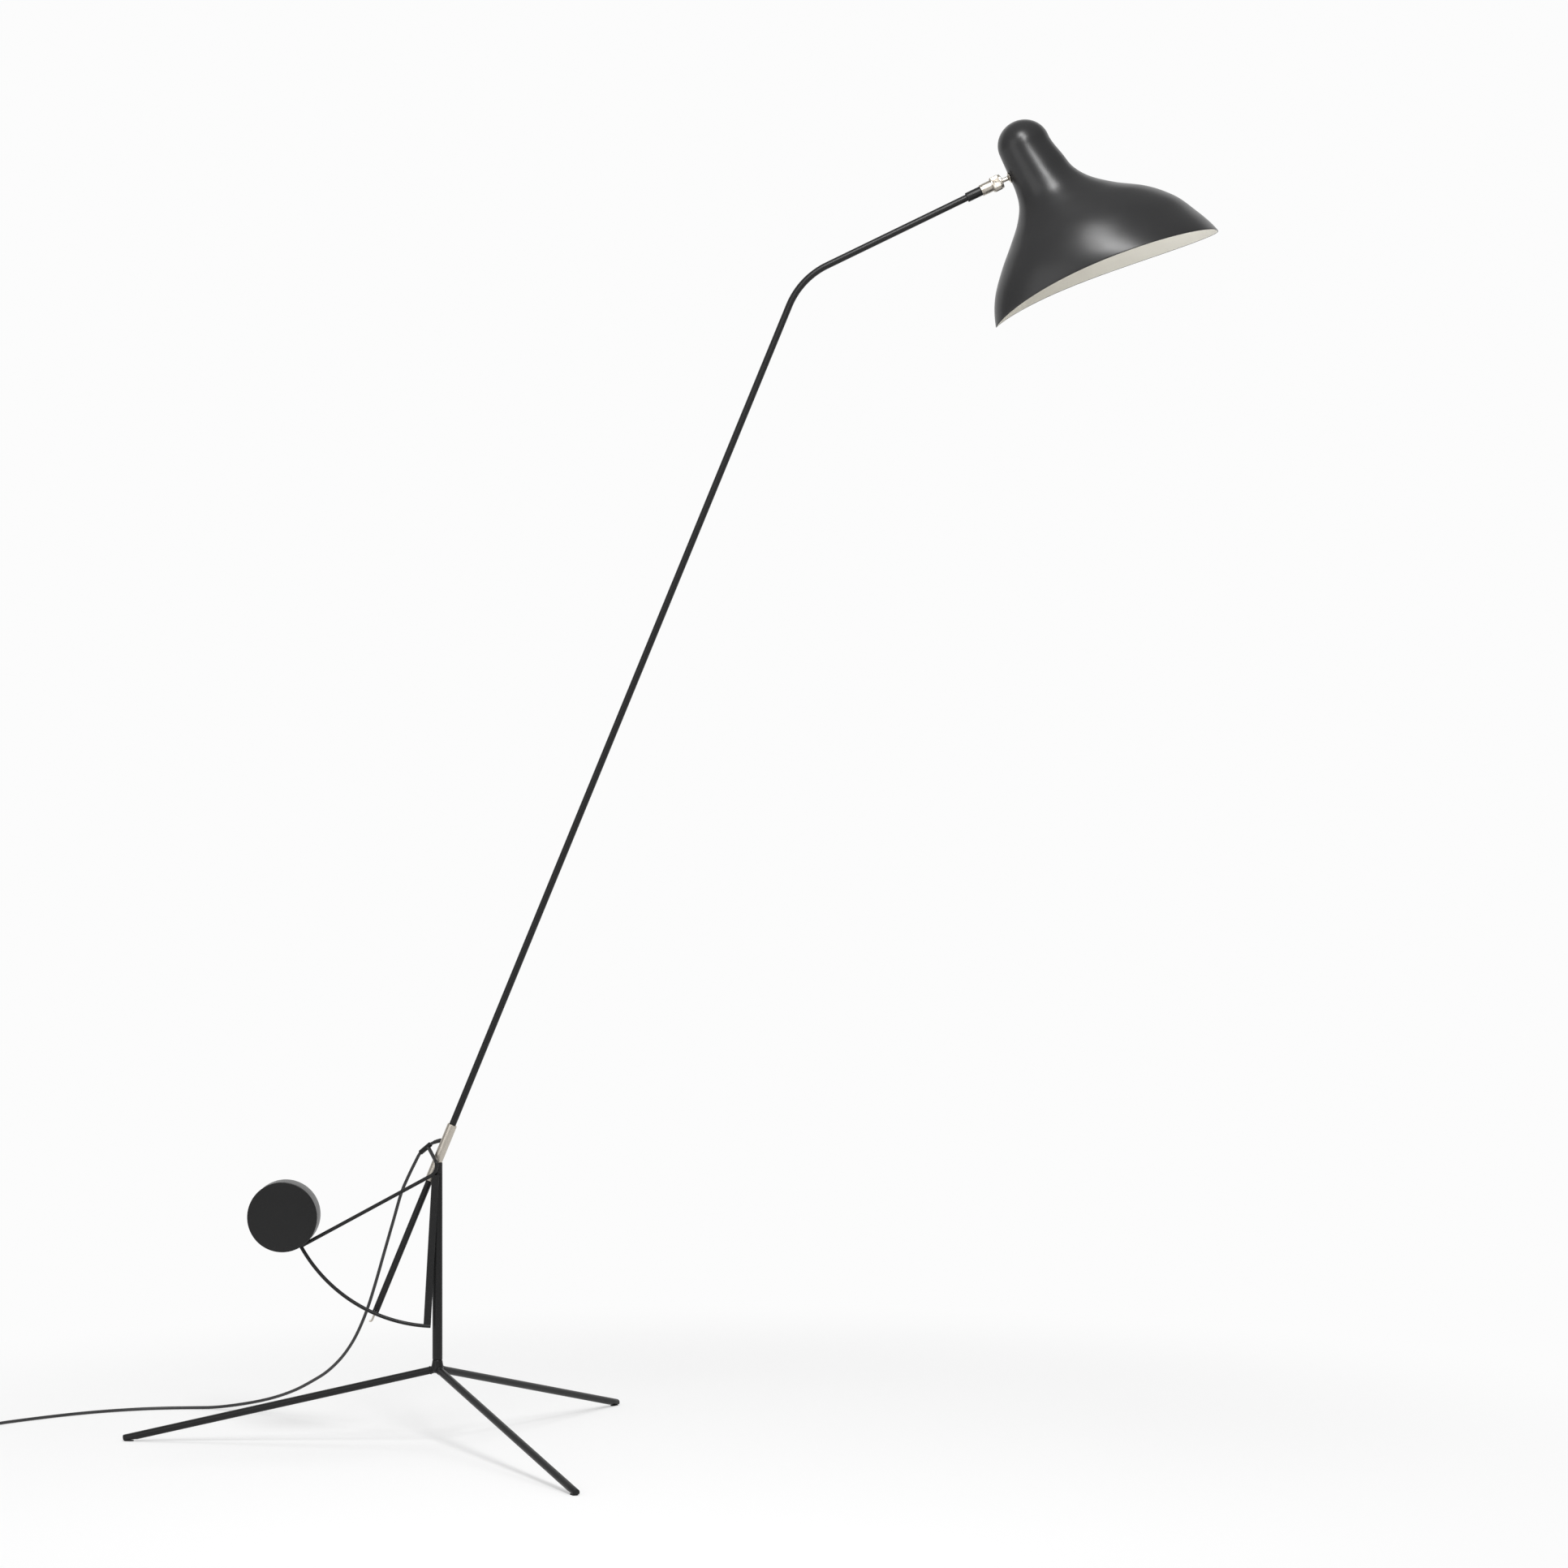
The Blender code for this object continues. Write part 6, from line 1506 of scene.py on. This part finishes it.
@dataclass
class Studio:
    """The camera, the pale floor and backdrop, and the soft lamps."""

    layout: Layout
    lens: float = 93.65
    eye: tuple[float, float, float] = (0.4486, -5.28, 0.8576)
    white: float = 0.973
    shadow_share: float = 0.6
    shadow_zone: float = 0.68
    room: float = 0.40
    floor_half: float = 9.0
    floor_front: float = -7.5
    wall_depth: float = 4.5
    wall_height: float = 7.0
    cove_radius: float = 1.6

    def camera(self) -> None:
        """Make the level camera in front of the lamp."""
        data = bpy.data.cameras.new("front_camera")
        data.lens = self.lens
        data.sensor_width = 36.0
        data.clip_end = 60.0
        camera = linked("front_camera", data)
        camera.location = self.layout.post + Vector(self.eye)
        camera.rotation_euler = (math.pi / 2, 0.0, 0.0)
        bpy.context.scene.camera = camera

    def backdrop_material(self) -> bpy.types.Material:
        """Return a white that takes a soft shadow, and is clear when seen from behind."""
        material = bpy.data.materials.new("white_paper_backdrop")
        board = Board(material)
        fibres = board.noise((900.0, 900.0, 900.0), 3.0)
        board.principled(Base_Color=board.tint((0.76, 0.76, 0.76), fibres, (0.79, 0.79, 0.79)),
                         Roughness=0.85, Specular_IOR_Level=0.0)
        rays = board.node("ShaderNodeLightPath", {}, {}, "Is Camera Ray")
        path = rays.socket.node
        glossy = Signal(board, path.outputs["Is Glossy Ray"])
        through = Signal(board, path.outputs["Is Transmission Ray"])
        seen = rays + glossy + through
        glow = board.node("ShaderNodeEmission", {}, {"Color": (1.0, 1.0, 1.0, 1.0),
                                                      "Strength": self.white})
        away = board.node("ShaderNodeTexGradient", {"gradient_type": "SPHERICAL"},
                          {"Vector": board.place((self.shadow_zone,) * 3)}, "Fac")
        near = board.node("ShaderNodeMapRange", {"interpolation_type": "SMOOTHSTEP"},
                          {"Value": away, "From Min": 0.0, "From Max": 0.6})
        mixed = board.node("ShaderNodeMixShader", {},
                           {0: seen * (1.0 - near * self.shadow_share),
                            1: Signal(board, board.shader.outputs[0]), 2: glow})
        clear = board.node("ShaderNodeBsdfTransparent", {}, {})
        behind = board.node("ShaderNodeNewGeometry", {}, {}, "Backfacing")
        whole = board.node("ShaderNodeMixShader", {}, {0: behind, 1: mixed, 2: clear})
        output = board.tree.nodes["Material Output"]
        board.feed(output.inputs["Surface"], whole)
        return material

    def backdrop(self) -> None:
        """Make the floor that curves up into the wall behind."""
        bm = bmesh.new()
        half, depth, radius = self.floor_half, self.wall_depth, self.cove_radius
        section = [(self.floor_front, 0.0), (depth - radius, 0.0)]
        section += [(depth - radius + radius * math.sin(math.pi / 2 * k / 16),
                     radius - radius * math.cos(math.pi / 2 * k / 16)) for k in range(1, 17)]
        section.append((depth, self.wall_height))
        rows = [[bm.verts.new((x, y, z)) for x in (-half, half)] for y, z in section]
        for low, high in zip(rows, rows[1:]):
            bm.faces.new((low[0], low[1], high[1], high[0]))
        mesh = bpy.data.meshes.new("studio_backdrop")
        bm.to_mesh(mesh)
        bm.free()
        mesh.shade_smooth()
        backdrop = linked("studio_backdrop", mesh)
        mesh.materials.append(self.backdrop_material())

    def lamp(self, name: str, place: Sequence[float], aim: Sequence[float], power: float,
             size: tuple[float, float], shines: bool = True) -> None:
        """Make one soft box.

        Args:
            name: the lamp's name.
            place: where it stands.
            aim: the point that it faces.
            power: watts.
            size: its width and height.
            shines: whether glossy pieces mirror it.
        """
        data = bpy.data.lights.new(name, "AREA")
        data.shape = "RECTANGLE"
        data.size, data.size_y = size
        data.energy = power
        lamp = linked(name, data)
        lamp.visible_glossy = shines
        lamp.location = place
        lamp.rotation_euler = (Vector(aim) - Vector(place)).to_track_quat("-Z", "Y").to_euler()

    def lights(self) -> None:
        """Make the dim room and the soft boxes."""
        world = bpy.data.worlds.new("studio_room")
        bpy.context.scene.world = world
        world.use_nodes = True
        background = world.node_tree.nodes["Background"]
        background.inputs["Color"].default_value = (1.0, 1.0, 1.0, 1.0)
        background.inputs["Strength"].default_value = self.room
        self.lamp("key_box", (0.45, -3.0, 2.95), (0.45, 0.0, 1.6), 60.0, (0.6, 1.2))
        self.lamp("rim_box", (-0.25, -2.5, 3.8), (0.55, 0.0, 1.6), 75.0, (1.0, 1.0))
        self.lamp("top_box", (-0.1, 0.6, 4.2), (-0.1, 0.3, 0.0), 54.0, (3.0, 2.4), False)
        self.lamp("left_panel", (-2.4, -2.6, 1.7), (0.0, 0.0, 0.8), 20.0, (2.0, 2.4))

    def build(self) -> None:
        """Make the backdrop and the lights."""
        self.backdrop()
        self.lights()
        bpy.context.scene.view_settings.view_transform = "Standard"


def main() -> None:
    """Build the lamp and its studio in order."""
    logging.basicConfig(level=logging.INFO, format="%(name)s: %(message)s")
    layout = Layout()
    studio = Studio(layout)
    studio.camera()
    cord = SupplyCord(layout)
    cord.build()
    cord.relief()
    Stand(layout).build()
    BalanceFrame(layout).build()
    Arm(layout).build()
    BallJoint(layout).build()
    ShadeHead(layout).build()
    studio.build()


if __name__ == "__main__":
    main()
